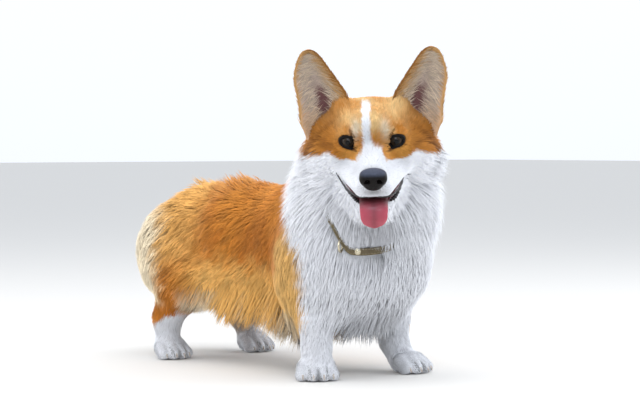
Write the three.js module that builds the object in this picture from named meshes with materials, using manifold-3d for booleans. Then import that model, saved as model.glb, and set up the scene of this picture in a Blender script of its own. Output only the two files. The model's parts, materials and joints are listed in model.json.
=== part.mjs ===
// A standing Pembroke Welsh Corgi at life size, with its head turned to its right.
// Millimetres. +Z is up, the rump is towards +Y, the dog's left side is +X, and Z = 0 is the floor.
// Each soft form holds a flesh radius and the depth of the coat over it.
import * as THREE from "three";
import { mergeVertices } from "three/addons/utils/BufferGeometryUtils.js";
import Module from "manifold-3d";

const wasm = await Module();
wasm.setup();

// Driving dimensions
const BACK = 287; // top of the coat along the back
const CHEST_FLOOR = 98; // underside of the flesh between the forelegs
const FORE_Y = -190; // where the forefeet stand
const HIND_Y = 176; // where the hind feet stand
const FORE_SPREAD = 80; // half the distance between the forefeet
const HIND_SPREAD = 84; // half the distance between the hind feet
const GAP = 0.3; // clearance between touching nodes

// The head's own frame has its origin midway between the eyes.
const EYES_AT = new THREE.Vector3(-70.5, -296, 347);
const HEAD_YAW = THREE.MathUtils.degToRad(-41);
const HEAD_PITCH = THREE.MathUtils.degToRad(18);
const HEAD_ROLL = THREE.MathUtils.degToRad(-1.5);
const EYE_SPACING = 67;
const EYE_RADIUS = 12;

const at = (x, y, z) => new THREE.Vector3(x, y, z);
const mirrored = (p, side) => at(p.x * side, p.y, p.z);
const UP = at(0, 0, 1);

// Fields: negative inside, positive outside, in millimetres from the surface.
// share runs from 0 at the skin to 1 at the tips of the coat.
const ball = (centre, radii, coat, yaw = 0) => (p, share) => {
  const r = radii.clone().addScalar(coat * share);
  const q = p.clone().sub(centre).applyAxisAngle(UP, -yaw);
  const near = q.clone().divide(r).length();
  const slope = q.clone().divide(r.clone().multiply(r)).length();
  return slope < 1e-9 ? -Math.min(r.x, r.y, r.z) : (near * (near - 1)) / slope;
};

const bar = (from, to, fromRadius, toRadius, coat, toCoat = coat) => (p, share) => {
  const axis = to.clone().sub(from);
  const t = THREE.MathUtils.clamp(p.clone().sub(from).dot(axis) / axis.lengthSq(), 0, 1);
  const radius = THREE.MathUtils.lerp(fromRadius + coat * share, toRadius + toCoat * share, t);
  return p.distanceTo(from.clone().addScaledVector(axis, t)) - radius;
};

const smoothMin = (a, b, k) => {
  const h = Math.max(k - Math.abs(a - b), 0) / k;
  return Math.min(a, b) - (h * h * k) / 4;
};

const melt = (k, ...forms) => (p, share) =>
  forms.map((form) => form(p, share)).reduce((a, b) => smoothMin(a, b, k));

const pair = (make) => [make(1), make(-1)]; // the left side, then the right

// Trunk
const trunk = melt(
  26,
  ball(at(0, -92, (BACK + CHEST_FLOOR) / 2 - 4), at(72, 132, 86), 17),
  ball(at(0, -200, 178), at(73, 57, 70), 32),
  ball(at(0, -135, 238), at(46, 66, 36), 12),
  ball(at(0, 62, 192), at(66, 118, 73), 20),
  ball(at(0, 178, 200), at(64, 72, 64), 16),
  ...pair((side) => ball(at(62 * side, -170, 168), at(34, 60, 72), 22)),
);
const trunkSpine = new THREE.CatmullRomCurve3([
  at(0, -200, 178),
  at(0, -90, 192),
  at(0, 70, 200),
  at(0, 196, 200),
]);

// Neck and ruff
const neckRoot = at(0, -140, 215);
const neckTop = at(-22, -218, 326);
const neck = melt(
  30,
  bar(neckRoot, neckTop, 66, 50, 20, 22),
  ball(at(-5, -210, 256), at(72, 50, 68), 42, HEAD_YAW),
);
const neckSpine = new THREE.CatmullRomCurve3([
  neckRoot,
  at(-8, -190, 268),
  neckTop,
]);

// Thighs, hind legs and hind feet
const thigh = (side) =>
  melt(
    22,
    ball(at(58 * side, 197, 168), at(34, 60, 61), 21),
    bar(at(66 * side, 176, 142), at(76 * side, 156, 116), 42, 32, 12),
  );
const thighSpine = (side) =>
  new THREE.CatmullRomCurve3([
    at(52 * side, 206, 188),
    at(60 * side, 198, 152),
    at(72 * side, 176, 112),
  ]);

const HOCK_BACK = { 1: 34, "-1": 10 }; // how far each hock stands behind its foot
const hock = (side) => at((HIND_SPREAD - 2) * side, HIND_Y + HOCK_BACK[side], 64);
const hindKnee = (side) => at(76 * side, hock(side).y - 34, 122);
const hindLeg = (side) =>
  melt(
    12,
    bar(hindKnee(side), hock(side), 30, 17, 8),
    bar(hock(side), at(HIND_SPREAD * side, HIND_Y + 6, 22), 14.5, 15, 5.5),
  );
const hindLegSpine = (side) =>
  new THREE.CatmullRomCurve3([
    hindKnee(side),
    hock(side),
    at(HIND_SPREAD * side, HIND_Y + 6, 28),
  ]);

// Upper arms, forelegs and forefeet
const upperArm = (side) =>
  melt(18, ball(at(76 * side, -158, 138), at(26, 36, 42), 12));
const upperArmSpine = (side) =>
  new THREE.CatmullRomCurve3([
    at(72 * side, -156, 166),
    at(78 * side, -158, 112),
  ]);
const elbow = (side) => at(side > 0 ? 82 : -76, side > 0 ? -160 : -168, 118);
const forearmMiddle = (side) => at(side > 0 ? 82 : -78, side > 0 ? -172 : -182, 80);
const wrist = (side) => at(79 * side, FORE_Y + (side > 0 ? 14 : 6), 46);
const pastern = (side) => at(81 * side, FORE_Y + (side > 0 ? 4 : 2), 28);
const foreleg = (side) =>
  melt(
    12,
    bar(elbow(side), forearmMiddle(side), 25, 19.5, 6),
    bar(forearmMiddle(side), wrist(side), 19.5, 17, 4),
    bar(wrist(side), pastern(side), 17, 17, 4),
  );
const forelegSpine = (side) =>
  new THREE.CatmullRomCurve3([
    elbow(side),
    forearmMiddle(side),
    wrist(side),
    pastern(side),
  ]);

// A foot in its own frame: toes towards -Y, resting on Z = 0.
const TOE_ANGLES = [-24, -8, 8, 24];
const toeTips = (long, wide) =>
  TOE_ANGLES.map((degrees) => {
    const reach = long * (Math.abs(degrees) < 10 ? 0.38 : 0.26);
    return at(Math.sin(THREE.MathUtils.degToRad(degrees)) * wide * 1.05, -reach, 8.5);
  });
const foot = (long, wide) => {
  const toes = toeTips(long, wide).map((tip) =>
    bar(at(tip.x * 0.81, tip.y + 15, 19), tip, 9.6, 8.8, 1.6),
  );
  const pad = ball(at(0, 6, 15), at(wide * 0.4, long * 0.34, 17), 2.5);
  return melt(3.5, ...toes, pad);
};

// The whole coat of the body, which the locks lie along
const coat = melt(
  24,
  trunk,
  neck,
  ...pair(thigh),
  ...pair(upperArm),
);

// Under long locks the solid coat reaches less than half way to the tips.
const SHORT_SHARE = 0.9;
const CORE_SHARE = 0.48;
const smooth = THREE.MathUtils.smoothstep;
const longCoat = (p) =>
  Math.max(
    1 - smooth(p.y, -120, -50),
    (1 - smooth(p.z, 125, 165)) * (1 - smooth(p.y, 90, 140)),
    smooth(p.y, 205, 235),
  );
const cored = (field) => (p) =>
  field(p, THREE.MathUtils.lerp(SHORT_SHARE, CORE_SHARE, longCoat(p)));

// Head forms, in the head's own frame
const skull = ball(at(0, 42, 8), at(54, 56, 35), 4);
const brow = ball(at(0, 12, 10), at(42, 25, 26), 4);
const cheeks = pair((side) => ball(at(38 * side, 26, -22), at(27, 36, 28), 8));
const muzzle = bar(at(0, -2, -26), at(0, -58, -33), 30, 19, 2.5);
const flews = pair((side) => bar(at(31 * side, -2, -40), at(12.5 * side, -56, -50), 17, 13, 2.5));
const ruffCheeks = pair((side) => ball(at(56 * side, 46, -28), at(20, 26, 32), 20));
const headField = melt(12, skull, brow, ...cheeks, muzzle, ...flews, ...ruffCheeks);
const headSpine = new THREE.CatmullRomCurve3([
  at(0, 64, -2),
  at(0, 10, -12),
  at(0, -58, -36),
]);

const jawField = melt(
  10,
  ...pair((side) => bar(at(30 * side, 10, -60), at(11 * side, -42, -84), 15, 11, 4)),
  ball(at(0, -46, -84), at(15, 12, 10), 3),
);
const jawSpine = new THREE.CatmullRomCurve3([at(0, 16, -60), at(0, -42, -84)]);

// Solids

// Any closed three.js geometry with its shared vertices merged, as a solid with its faces turned out.
function solidOf(geometry) {
  const bare = geometry.clone();
  bare.deleteAttribute("normal");
  bare.deleteAttribute("uv");
  const merged = mergeVertices(bare, 1e-3);
  const vertProperties = new Float32Array(merged.attributes.position.array);
  const triVerts = new Uint32Array(merged.index.array);
  const made = new wasm.Manifold(new wasm.Mesh({ numProp: 3, vertProperties, triVerts }));
  if (made.volume() > 0) return made;
  return new wasm.Manifold(
    new wasm.Mesh({ numProp: 3, vertProperties, triVerts: triVerts.reverse() }),
  );
}

// Each vertex of a unit geometry goes where place(vertex) says.
function moulded(base, place) {
  const position = base.attributes.position;
  const v = new THREE.Vector3();
  for (let i = 0; i < position.count; i++) {
    const made = place(v.fromBufferAttribute(position, i));
    position.setXYZ(i, made.x, made.y, made.z);
  }
  return base;
}

const MARCH_STEP = 2;
const BISECTIONS = 14;

// The first crossing of the field along a ray that starts inside it.
function surfacePoint(field, from, direction, share, grow = 0) {
  const value = (r) => field(from.clone().addScaledVector(direction, r), share) - grow;
  let high = 0;
  while (value(high) < 0 && high < 400) high += MARCH_STEP;
  let low = Math.max(high - MARCH_STEP, 0);
  for (let i = 0; i < BISECTIONS; i++) {
    const middle = (low + high) / 2;
    if (value(middle) < 0) low = middle;
    else high = middle;
  }
  return from.clone().addScaledVector(direction, (low + high) / 2);
}

// The ray that leaves a spine at t along it and an angle round it; it fans out past both ends.
const CAP = 0.2;
function spineRay(spine, t, angle) {
  const along = THREE.MathUtils.clamp((t - CAP) / (1 - 2 * CAP), 0, 1);
  const from = spine.getPoint(along);
  const tangent = spine.getTangent(along);
  const side = at(1, 0, 0).projectOnPlane(tangent).normalize();
  const other = new THREE.Vector3().crossVectors(tangent, side);
  const lean = t < CAP ? t / CAP - 1 : t > 1 - CAP ? 1 - (1 - t) / CAP : 0;
  const tilt = (lean * Math.PI) / 2;
  const direction = side
    .multiplyScalar(Math.cos(angle))
    .addScaledVector(other, Math.sin(angle))
    .multiplyScalar(Math.cos(tilt))
    .addScaledVector(tangent, Math.sin(tilt));
  return { from, direction };
}

// A sphere's vertices, each moved along its own ray until it meets the field's surface.
function wrap(field, spine, around, along, share = 1, grow = 0) {
  const geometry = moulded(new THREE.SphereGeometry(1, around, along), (v) => {
    const t = Math.acos(THREE.MathUtils.clamp(v.y, -1, 1)) / Math.PI;
    const { from, direction } = spineRay(spine, t, Math.atan2(v.z, v.x));
    return surfacePoint(field, from, direction, share, grow);
  });
  return solidOf(geometry);
}

// The largest closed surface of a solid.
function largest(solid) {
  return solid.decompose().reduce((a, b) => (a.volume() >= b.volume() ? a : b));
}

function box(low, high) {
  const size = high.clone().sub(low);
  const middle = low.clone().add(high).divideScalar(2);
  return solidOf(
    new THREE.BoxGeometry(size.x, size.y, size.z).translate(middle.x, middle.y, middle.z),
  );
}

function placed(solid, matrix) {
  return solid.transform(matrix.elements);
}

// Locks of long coat: flat leaves that leave the core, bend over and lie along the coat.
const PROBE = 0.5;
function normalAt(field, p, share) {
  const slope = (axis) =>
    field(p.clone().addScaledVector(axis, PROBE), share) -
    field(p.clone().addScaledVector(axis, -PROBE), share);
  return at(slope(at(1, 0, 0)), slope(at(0, 1, 0)), slope(UP)).normalize();
}

function settled(field, p, share) {
  const spot = p.clone();
  for (let i = 0; i < 3; i++) {
    spot.addScaledVector(normalAt(field, spot, share), -field(spot, share));
  }
  return spot;
}

// Seeded random numbers from -1 to 1.
function drawer(seed) {
  let state = seed;
  return () => {
    state = (state * 1664525 + 1013904223) % 4294967296;
    return (state / 4294967296) * 2 - 1;
  };
}

const LOCK_SINK = 9;
const LOCK_SHARES = [CORE_SHARE, 0.82, 1, 1.04];
const LOCK_OUTLINE = new THREE.CatmullRomCurve3(
  [0.8, 1, 0.72, 0].map((width) => at(width, 0, 0)),
);
// hold is how closely the lock keeps to the coat: at 0 it hangs free.
function lock(field, root, lie, { length, width, thickness, hold = 1 }, grow = 0) {
  const start = settled(field, root, CORE_SHARE);
  const inward = normalAt(field, start, CORE_SHARE).multiplyScalar(-LOCK_SINK);
  const stations = [start.clone().add(inward)];
  let spot = start;
  for (let i = 1; i < LOCK_SHARES.length; i++) {
    const normal = normalAt(field, spot, LOCK_SHARES[i]);
    const along = lie(spot, normal);
    const next = spot.clone().addScaledVector(along, length / (LOCK_SHARES.length - 1));
    const onCoat = settled(field, next, LOCK_SHARES[i]);
    spot = next.lerp(onCoat, i === 1 ? Math.sqrt(hold) : hold);
    stations.push(spot);
  }
  const curve = new THREE.CatmullRomCurve3(stations);
  const facing = normalAt(field, stations[2], 1);
  const shape = moulded(new THREE.ConeGeometry(1, 1, 4, 3), (v) => {
    const t = v.y + 0.5;
    const rim = Math.hypot(v.x, v.z) < 1e-6 ? 0 : 1;
    const angle = Math.atan2(v.z, v.x);
    const tangent = curve.getTangent(t);
    const side = new THREE.Vector3().crossVectors(tangent, facing).normalize();
    const out = new THREE.Vector3().crossVectors(side, tangent);
    const outline = Math.max(LOCK_OUTLINE.getPoint(t).x, 0) * rim;
    const reach = t > 0.99 ? grow : 0;
    return curve
      .getPoint(t)
      .addScaledVector(tangent, reach)
      .addScaledVector(side, Math.cos(angle) * (width / 2 + grow) * outline)
      .addScaledVector(out, Math.sin(angle) * (thickness / 2 + grow) * outline);
  });
  return solidOf(shape);
}

// Rows of locks round a spine, from one angle to another. Each row is staggered against the last.
function lockRows(field, spine, rows, lie, seed, grow = 0) {
  const draw = drawer(seed);
  const made = [];
  rows.forEach(({ t, from, to, count, length, width, thickness = 7, hold = 1 }, row) => {
    for (let i = 0; i < count; i++) {
      const step = (to - from) / count;
      const angle = from + step * (i + 0.25 + 0.5 * (row % 2) + 0.18 * draw());
      const ray = spineRay(spine, t + 0.015 * draw(), THREE.MathUtils.degToRad(angle));
      const root = surfacePoint(cored(field), ray.from, ray.direction, 0);
      const sizes = {
        length: length * (1 + 0.14 * draw()),
        width: width * (1 + 0.15 * draw()),
        thickness,
        hold,
      };
      made.push(lock(field, root, lie, sizes, grow));
    }
  });
  return made;
}

// A row of locks whose roots stand side by side along a curve.
function lockLine(field, curve, lie, seed, { count, lengths, width, thickness = 7, hold = 1 }) {
  const draw = drawer(seed);
  return Array.from({ length: count }, (_, i) => {
    const t = (i + 0.5 + 0.2 * draw()) / count;
    const root = curve.getPoint(t);
    return lock(field, root, lie, {
      length: THREE.MathUtils.lerp(lengths[0], lengths[1], t) * (1 + 0.14 * draw()),
      width: width * (1 + 0.15 * draw()),
      thickness,
      hold,
    });
  });
}

const corgi = new THREE.Group();

function addNode(group, name, solid, material) {
  const { numProp, vertProperties, triVerts } = largest(solid).getMesh();
  const position = new Float32Array((vertProperties.length / numProp) * 3);
  for (let i = 0; i < position.length / 3; i++) {
    position.set(vertProperties.subarray(i * numProp, i * numProp + 3), i * 3);
  }
  const geometry = new THREE.BufferGeometry()
    .setAttribute("position", new THREE.BufferAttribute(position, 3))
    .setIndex(new THREE.BufferAttribute(new Uint32Array(triVerts), 1));
  const mesh = new THREE.Mesh(geometry, material);
  mesh.name = name;
  group.add(mesh);
}

const paint = (color, roughness, metalness = 0) =>
  new THREE.MeshStandardMaterial({ color, roughness, metalness });
const redCoat = paint(0xc98743, 0.9);
const whiteCoat = paint(0xe9e9ec, 0.9);
const noseLeather = paint(0x1b1a1c, 0.35);
const tonguePink = paint(0xcf5a6e, 0.4);
const eyeDark = paint(0x1a120d, 0.08);
const collarLeather = paint(0x6b5a3c, 0.6);
const brass = paint(0xc9a86a, 0.3, 0.9);

// Head
const headGroup = new THREE.Group();
headGroup.position.copy(EYES_AT);
headGroup.rotation.set(HEAD_PITCH, HEAD_ROLL, HEAD_YAW, "ZYX");
corgi.add(headGroup);
headGroup.updateMatrixWorld(true);

const eyeCentre = (side) => at((EYE_SPACING / 2) * side, 1, 0);
const ellipsoid = (centre, radii, around = 12, along = 8) =>
  solidOf(
    new THREE.SphereGeometry(1, around, along)
      .scale(radii.x, radii.y, radii.z)
      .translate(centre.x, centre.y, centre.z),
  );
const eyeSolid = (side, grow = 0) => {
  const r = EYE_RADIUS + grow;
  return ellipsoid(eyeCentre(side), at(r, r, r));
};

// Lids: a shell round each eyeball, open in front by an almond.
const LID_THICKNESS = 3.2;
const LID_OPENING = at(13.4, 12, 10.2);
const lidSolid = (side) => {
  const r = EYE_RADIUS + LID_THICKNESS;
  return ellipsoid(eyeCentre(side), at(r, r, r), 10, 6);
};
const lidOpening = (side) =>
  ellipsoid(eyeCentre(side).add(at(1.5 * side, -EYE_RADIUS, 0)), LID_OPENING, 12, 6);

// A tapered tube along a curve with round ends, for lips and claws.
function tube(curve, fromRadius, toRadius, around, along) {
  const shape = moulded(new THREE.SphereGeometry(1, around, along), (v) => {
    const t = Math.acos(THREE.MathUtils.clamp(v.y, -1, 1)) / Math.PI;
    const angle = Math.atan2(v.z, v.x);
    const tangent = curve.getTangent(t);
    const across = new THREE.Vector3().crossVectors(tangent, UP).normalize();
    const up = new THREE.Vector3().crossVectors(across, tangent);
    const radius = THREE.MathUtils.lerp(fromRadius, toRadius, t) * Math.hypot(v.x, v.z) ** 0.5;
    return curve
      .getPoint(t)
      .addScaledVector(across, Math.cos(angle) * radius)
      .addScaledVector(up, Math.sin(angle) * radius);
  });
  return solidOf(shape);
}

// Lips: dark rolls along both edges of the open mouth.
const UPPER_LIP = [at(49, -4, -43), at(42, -26, -57), at(27, -52, -64), at(6, -69, -60)];
const LOWER_LIP = [at(48, 0, -49), at(41, -22, -66), at(27, -42, -78), at(6, -58, -82)];
const LIP_RADIUS = 3.2;
const lipSolid = (points, side, grow = 0) =>
  tube(
    new THREE.CatmullRomCurve3(points.map((p) => mirrored(p, side))),
    LIP_RADIUS + grow,
    LIP_RADIUS * 0.7 + grow,
    5,
    8,
  );

// The mouth stands open between the upper lips and the lower jaw.
const headSolid = () => {
  const lids = pair(lidSolid);
  const lips = pair((side) => lipSolid(UPPER_LIP, side));
  const whole = wasm.Manifold.union([wrap(headField, headSpine, 22, 15), ...lids, ...lips]);
  return [1, -1].reduce(
    (made, side) => made.subtract(eyeSolid(side, GAP)).subtract(lidOpening(side)),
    whole,
  );
};
const headGrown = wasm.Manifold.union([
  wrap(headField, headSpine, 22, 15, 1, GAP),
  ...pair((side) => lipSolid(UPPER_LIP, side, 2 * GAP)),
]);

// Nose leather with two nostrils
const noseForm = ball(at(0, -78, -30), at(19, 10, 15.5), 0);
const noseSpine = new THREE.CatmullRomCurve3([at(0, -75, -30), at(0, -80, -30)]);
const noseSolid = (grow = 0) => wrap(noseForm, noseSpine, 12, 8, 1, grow);
const nostril = (side) => ellipsoid(at(8 * side, -88, -31), at(3.6, 7, 3.2), 6, 4);

// Tongue: a flat tapered slab that leaves the mouth, bends over the lip and hangs.
const TONGUE_WIDTH = 42;
const TONGUE_THICKNESS = 6;
const tonguePath = new THREE.CatmullRomCurve3([
  at(0, -16, -66),
  at(0, -46, -68),
  at(0, -66, -75),
  at(0, -73, -90),
  at(0, -67, -107),
]);
const tongueSolid = (grow = 0) =>
  solidOf(
    moulded(new THREE.SphereGeometry(1, 12, 12), (v) => {
      const t = Math.acos(THREE.MathUtils.clamp(v.y, -1, 1)) / Math.PI;
      const spot = tonguePath.getPoint(t);
      const tangent = tonguePath.getTangent(t);
      const out = new THREE.Vector3().crossVectors(tangent, at(1, 0, 0)).normalize();
      const taper = Math.pow(Math.sin(Math.PI * Math.min(Math.max(t, 0), 1)), 0.45);
      const angle = Math.atan2(v.z, v.x);
      spot.x += Math.cos(angle) * (TONGUE_WIDTH / 2 + grow) * taper;
      return spot.addScaledVector(out, Math.sin(angle) * (TONGUE_THICKNESS / 2 + grow) * taper);
    }),
  );

// Ears: upright cups. Each station is the height above the eyes, the middle's distance
// from the head's centre plane, half the width, and how far back the middle stands.
const EAR_STATIONS = [
  [-8, 62, 24, 40],
  [12, 65, 31, 42],
  [36, 67, 35, 46],
  [60, 68, 37, 50],
  [86, 76, 31, 48],
  [103, 81, 23, 45],
  [114, 84.5, 15.5, 43.5],
  [119, 86, 10.5, 43],
  [122, 86.5, 3, 42.5],
];
const EAR_THICKNESS = 5;
const EAR_CUP = 20;
const earLine = (k) =>
  new THREE.CatmullRomCurve3(EAR_STATIONS.map((row) => at(row[k], 0, 0)));
const [earHeight, earMiddle, earHalfWidth, earBack] = [0, 1, 2, 3].map(earLine);
function earSolid(side) {
  const shape = moulded(new THREE.CylinderGeometry(1, 1, 1, 10, 9), (v) => {
    const t = 1 - (0.5 - v.y) ** 1.4;
    const rim = Math.hypot(v.x, v.z);
    const angle = Math.atan2(v.z, v.x);
    const s = Math.cos(angle) * rim;
    const thick = (EAR_THICKNESS / 2) * Math.sign(Math.sin(angle)) * Math.sqrt(Math.max(0, 1 - s * s));
    const cup = EAR_CUP * (1 - 0.55 * t) * (1 - s * s);
    const half = earHalfWidth.getPoint(t).x;
    const spot = at(
      earMiddle.getPoint(t).x + s * half,
      earBack.getPoint(t).x + cup + thick * rim - EAR_CUP * 0.4,
      earHeight.getPoint(t).x,
    );
    return mirrored(spot, side);
  });
  return solidOf(shape);
}

const jawSolid = (grow = 0) =>
  wasm.Manifold.union([
    wrap(jawField, jawSpine, 12, 8, 1, grow),
    ...(grow ? [] : pair((side) => lipSolid(LOWER_LIP, side))),
  ]);

const head = headSolid().subtract(noseSolid(GAP));
const tongue = tongueSolid().subtract(headGrown);
addNode(headGroup, "head", head, redCoat);
addNode(headGroup, "nose", noseSolid().subtract(nostril(1)).subtract(nostril(-1)), noseLeather);
addNode(headGroup, "eye_left", eyeSolid(1), eyeDark);
addNode(headGroup, "eye_right", eyeSolid(-1), eyeDark);
addNode(headGroup, "tongue", tongue, tonguePink);
addNode(headGroup, "lower_jaw", jawSolid().subtract(headGrown).subtract(tongueSolid(GAP)), whiteCoat);

// Collar: a band that hangs lowest towards the dog's front right, in a groove of the coat.
const COLLAR_CENTRE = at(-4, -196, 0);
const COLLAR_FRONT = THREE.MathUtils.degToRad(-130);
const COLLAR_LOW = 188;
const COLLAR_RISE = 98;
const COLLAR_RADIUS = 84;
const COLLAR_HALF_WIDTH = 8;
const COLLAR_THICKNESS = 4;
const COLLAR_SHOWN = [35, 60].map(THREE.MathUtils.degToRad); // where the coat closes over it
const collarPoint = (turn, out, up) => {
  const heading = COLLAR_FRONT + turn;
  const radius = COLLAR_RADIUS + out;
  return at(
    COLLAR_CENTRE.x + Math.cos(heading) * radius,
    COLLAR_CENTRE.y + Math.sin(heading) * radius,
    COLLAR_LOW + COLLAR_RISE * Math.sin(turn / 2) ** 2 + up,
  );
};
const FLAT = { reach: 0, flare: 0 };
// opening adds reach and flare to the outer side, only where the band shows in front.
function collarBand(inner, outer, half, opening = FLAT) {
  const shape = moulded(new THREE.TorusGeometry(2, 1, 4, 30), (v) => {
    const turn = Math.atan2(v.y, v.x);
    const shown = 1 - smooth(Math.abs(turn), COLLAR_SHOWN[0], COLLAR_SHOWN[1]);
    const outerReach = outer + opening.reach * shown;
    const outerHalf = half + opening.flare * shown;
    const corners = [
      [outerReach, -outerHalf],
      [outerReach, outerHalf],
      [inner, half],
      [inner, -half],
    ];
    const around = Math.atan2(v.z, Math.hypot(v.x, v.y) - 2);
    const corner = corners[(Math.round(around / (Math.PI / 2)) + 4) % 4];
    return collarPoint(turn, ...corner);
  });
  return solidOf(shape);
}
const collar = collarBand(0, COLLAR_THICKNESS, COLLAR_HALF_WIDTH);
const collarGroove = collarBand(
  -GAP,
  COLLAR_THICKNESS + GAP,
  COLLAR_HALF_WIDTH + GAP,
  { reach: 80, flare: 14 },
);
addNode(corgi, "collar", collar, collarLeather);

const RING_TURN = THREE.MathUtils.degToRad(-24);
const STUD_TURN = THREE.MathUtils.degToRad(-4);
const onCollar = (turn, out, up, geometry) => {
  const spot = collarPoint(turn, COLLAR_THICKNESS + out, up);
  return solidOf(
    geometry.rotateZ(COLLAR_FRONT + turn).translate(spot.x, spot.y, spot.z),
  );
};
const RING_RADIUS = 8.5;
const RING_WIRE = 1.6;
const ring = onCollar(
  RING_TURN,
  RING_WIRE + 3 * GAP,
  -COLLAR_HALF_WIDTH,
  new THREE.TorusGeometry(RING_RADIUS, RING_WIRE, 5, 14).rotateY(Math.PI / 2),
);
const STUD_PROFILE = [
  [0, 0],
  [4.5, 0],
  [4.1, 1.5],
  [2.4, 2.6],
  [0, 3],
].map(([radius, rise]) => new THREE.Vector2(radius, rise));
const stud = onCollar(
  STUD_TURN,
  3 * GAP,
  0,
  new THREE.LatheGeometry(STUD_PROFILE, 10).rotateZ(-Math.PI / 2),
);
const RING_POCKET = at(45, RING_RADIUS + 6, RING_RADIUS + 6);
const ringPocket = onCollar(
  RING_TURN,
  RING_POCKET.x - 18,
  -COLLAR_HALF_WIDTH,
  new THREE.SphereGeometry(1, 10, 8).scale(RING_POCKET.x, RING_POCKET.y, RING_POCKET.z),
);
const collarRoom = collarGroove.add(ringPocket);
addNode(corgi, "collar_ring", ring, brass);
addNode(corgi, "collar_stud", stud, brass);

// The way the coat lies: down and back on the sides, straight back along the top.
const coatLie = (p, normal) => at(0, 0.55, -1).projectOnPlane(normal).normalize();
// Fringes hang down with a slight sweep to the rear.
const fringeLie = () => at(0, 0.35, -1).normalize();

// A core joined with its locks, which are first cut clear of what they would cross.
function dressed(core, locks, crossed) {
  const clear = crossed.reduce(
    (made, neighbour) => made.subtract(neighbour),
    wasm.Manifold.union(locks),
  );
  return core.add(clear);
}

// Trunk, in three lengths
const FAR = 700;
const LOIN_Y = -20;
const RUMP_Y = 120;
const trunkSolid = (grow = 0) => wrap(cored(trunk), trunkSpine, 18, 18, 0, grow);
const slice = (solid, fromY, toY) => solid.intersect(box(at(-FAR, fromY, -FAR), at(FAR, toY, FAR)));
const trunkCore = trunkSolid();
const trunkGrown = trunkSolid(GAP);
const thighSolid = (side, grow = 0) =>
  wrap(cored(thigh(side)), thighSpine(side), 14, 12, 0, grow);
const armSolid = (side, grow = 0) =>
  wrap(cored(upperArm(side)), upperArmSpine(side), 12, 8, 0, grow);
const forearm = (side, grow = 0) => wrap(foreleg(side), forelegSpine(side), 12, 12, 1, grow);
const shank = (side, grow = 0) => wrap(hindLeg(side), hindLegSpine(side), 12, 12, 1, grow);

// Neck
const neckSolid = (grow = 0) => wrap(cored(neck), neckSpine, 16, 10, 0, grow);
const headInWorld = placed(headGrown, headGroup.matrixWorld);
const jawInWorld = placed(jawSolid(GAP), headGroup.matrixWorld);
const tongueInWorld = placed(tongueSolid(GAP), headGroup.matrixWorld);
const NECK_ROWS = [
  { t: 0.82, from: -80, to: 260, count: 11, length: 60, width: 38, thickness: 10 },
  { t: 0.62, from: -90, to: 270, count: 12, length: 66, width: 42, thickness: 10 },
  { t: 0.42, from: -90, to: 270, count: 11, length: 70, width: 44, thickness: 10 },
];
const neckLocks = (grow) => lockRows(coat, neckSpine, NECK_ROWS, coatLie, 11, grow);
const neckGrown = wasm.Manifold.union([neckSolid(GAP), ...neckLocks(GAP)]);
addNode(
  corgi,
  "neck",
  dressed(neckSolid(), neckLocks(0), [])
    .subtract(trunkGrown)
    .subtract(headInWorld)
    .subtract(jawInWorld)
    .subtract(tongueInWorld)
    .subtract(collarRoom),
  whiteCoat,
);

// Chest, with the bib in front, the shoulders' long coat and the keel between the forelegs
const bibSpine = new THREE.CatmullRomCurve3([at(0, -178, 222), at(0, -178, 112)]);
const BIB_ROWS = [
  { t: 0.2, from: -62, to: 242, count: 10, length: 60, width: 46, thickness: 10 },
  { t: 0.4, from: -58, to: 238, count: 10, length: 60, width: 46, thickness: 10 },
  { t: 0.6, from: -52, to: 232, count: 9, length: 58, width: 46, thickness: 10 },
  { t: 0.77, from: 10, to: 170, count: 5, length: 56, width: 42, thickness: 10 },
];
const keelLine = new THREE.CatmullRomCurve3([at(0, -235, 100), at(0, -90, 84)]);
const chestFringe = (side) =>
  new THREE.CatmullRomCurve3([at(60 * side, -128, 116), at(66 * side, -40, 122)]);
const keelPair = (side) =>
  new THREE.CatmullRomCurve3([at(30 * side, -160, 92), at(36 * side, -48, 96)]);
const chestLocks = [
  ...lockRows(coat, bibSpine, BIB_ROWS, coatLie, 21),
  ...lockLine(coat, keelLine, fringeLie, 22, {
    count: 5,
    lengths: [62, 62],
    width: 38,
    hold: 0.1,
  }),
  ...pair((side) => [
    ...lockLine(coat, keelPair(side), fringeLie, 23 + side, {
      count: 3,
      lengths: [60, 60],
      width: 40,
      hold: 0.1,
    }),
    ...lockLine(coat, chestFringe(side), fringeLie, 26 + side, {
      count: 4,
      lengths: [78, 80],
      width: 36,
      hold: 0.2,
    }),
  ]).flat(),
];
const chest = dressed(slice(trunkCore, -FAR, LOIN_Y - GAP), chestLocks, [
  neckGrown,
  headInWorld,
  jawInWorld,
  slice(trunkGrown, LOIN_Y, FAR),
  ...pair((side) => armSolid(side, GAP)),
  ...pair((side) => forearm(side, GAP)),
]);
addNode(corgi, "chest", chest.subtract(collarRoom), whiteCoat);

// Loin, with the fringe of the belly
const loinFringe = (side) =>
  new THREE.CatmullRomCurve3([at(66 * side, -12, 124), at(58 * side, 104, 128)]);
const loinLocks = pair((side) =>
  lockLine(coat, loinFringe(side), fringeLie, 32 + side, {
    count: 5,
    lengths: [80, 58],
    width: 36,
    hold: 0.2,
  }),
).flat();
const bellyLine = new THREE.CatmullRomCurve3([at(0, 0, 98), at(0, 100, 104)]);
const bellyLocks = lockLine(coat, bellyLine, fringeLie, 36, {
  count: 3,
  lengths: [46, 34],
  width: 48,
  hold: 0.2,
});
const loin = dressed(slice(trunkCore, LOIN_Y, RUMP_Y - GAP), [...loinLocks, ...bellyLocks], [
  slice(trunkGrown, -FAR, LOIN_Y),
  slice(trunkGrown, RUMP_Y - GAP, FAR),
  ...pair((side) => thighSolid(side, GAP)),
]);
addNode(corgi, "loin", loin, redCoat);

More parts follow.
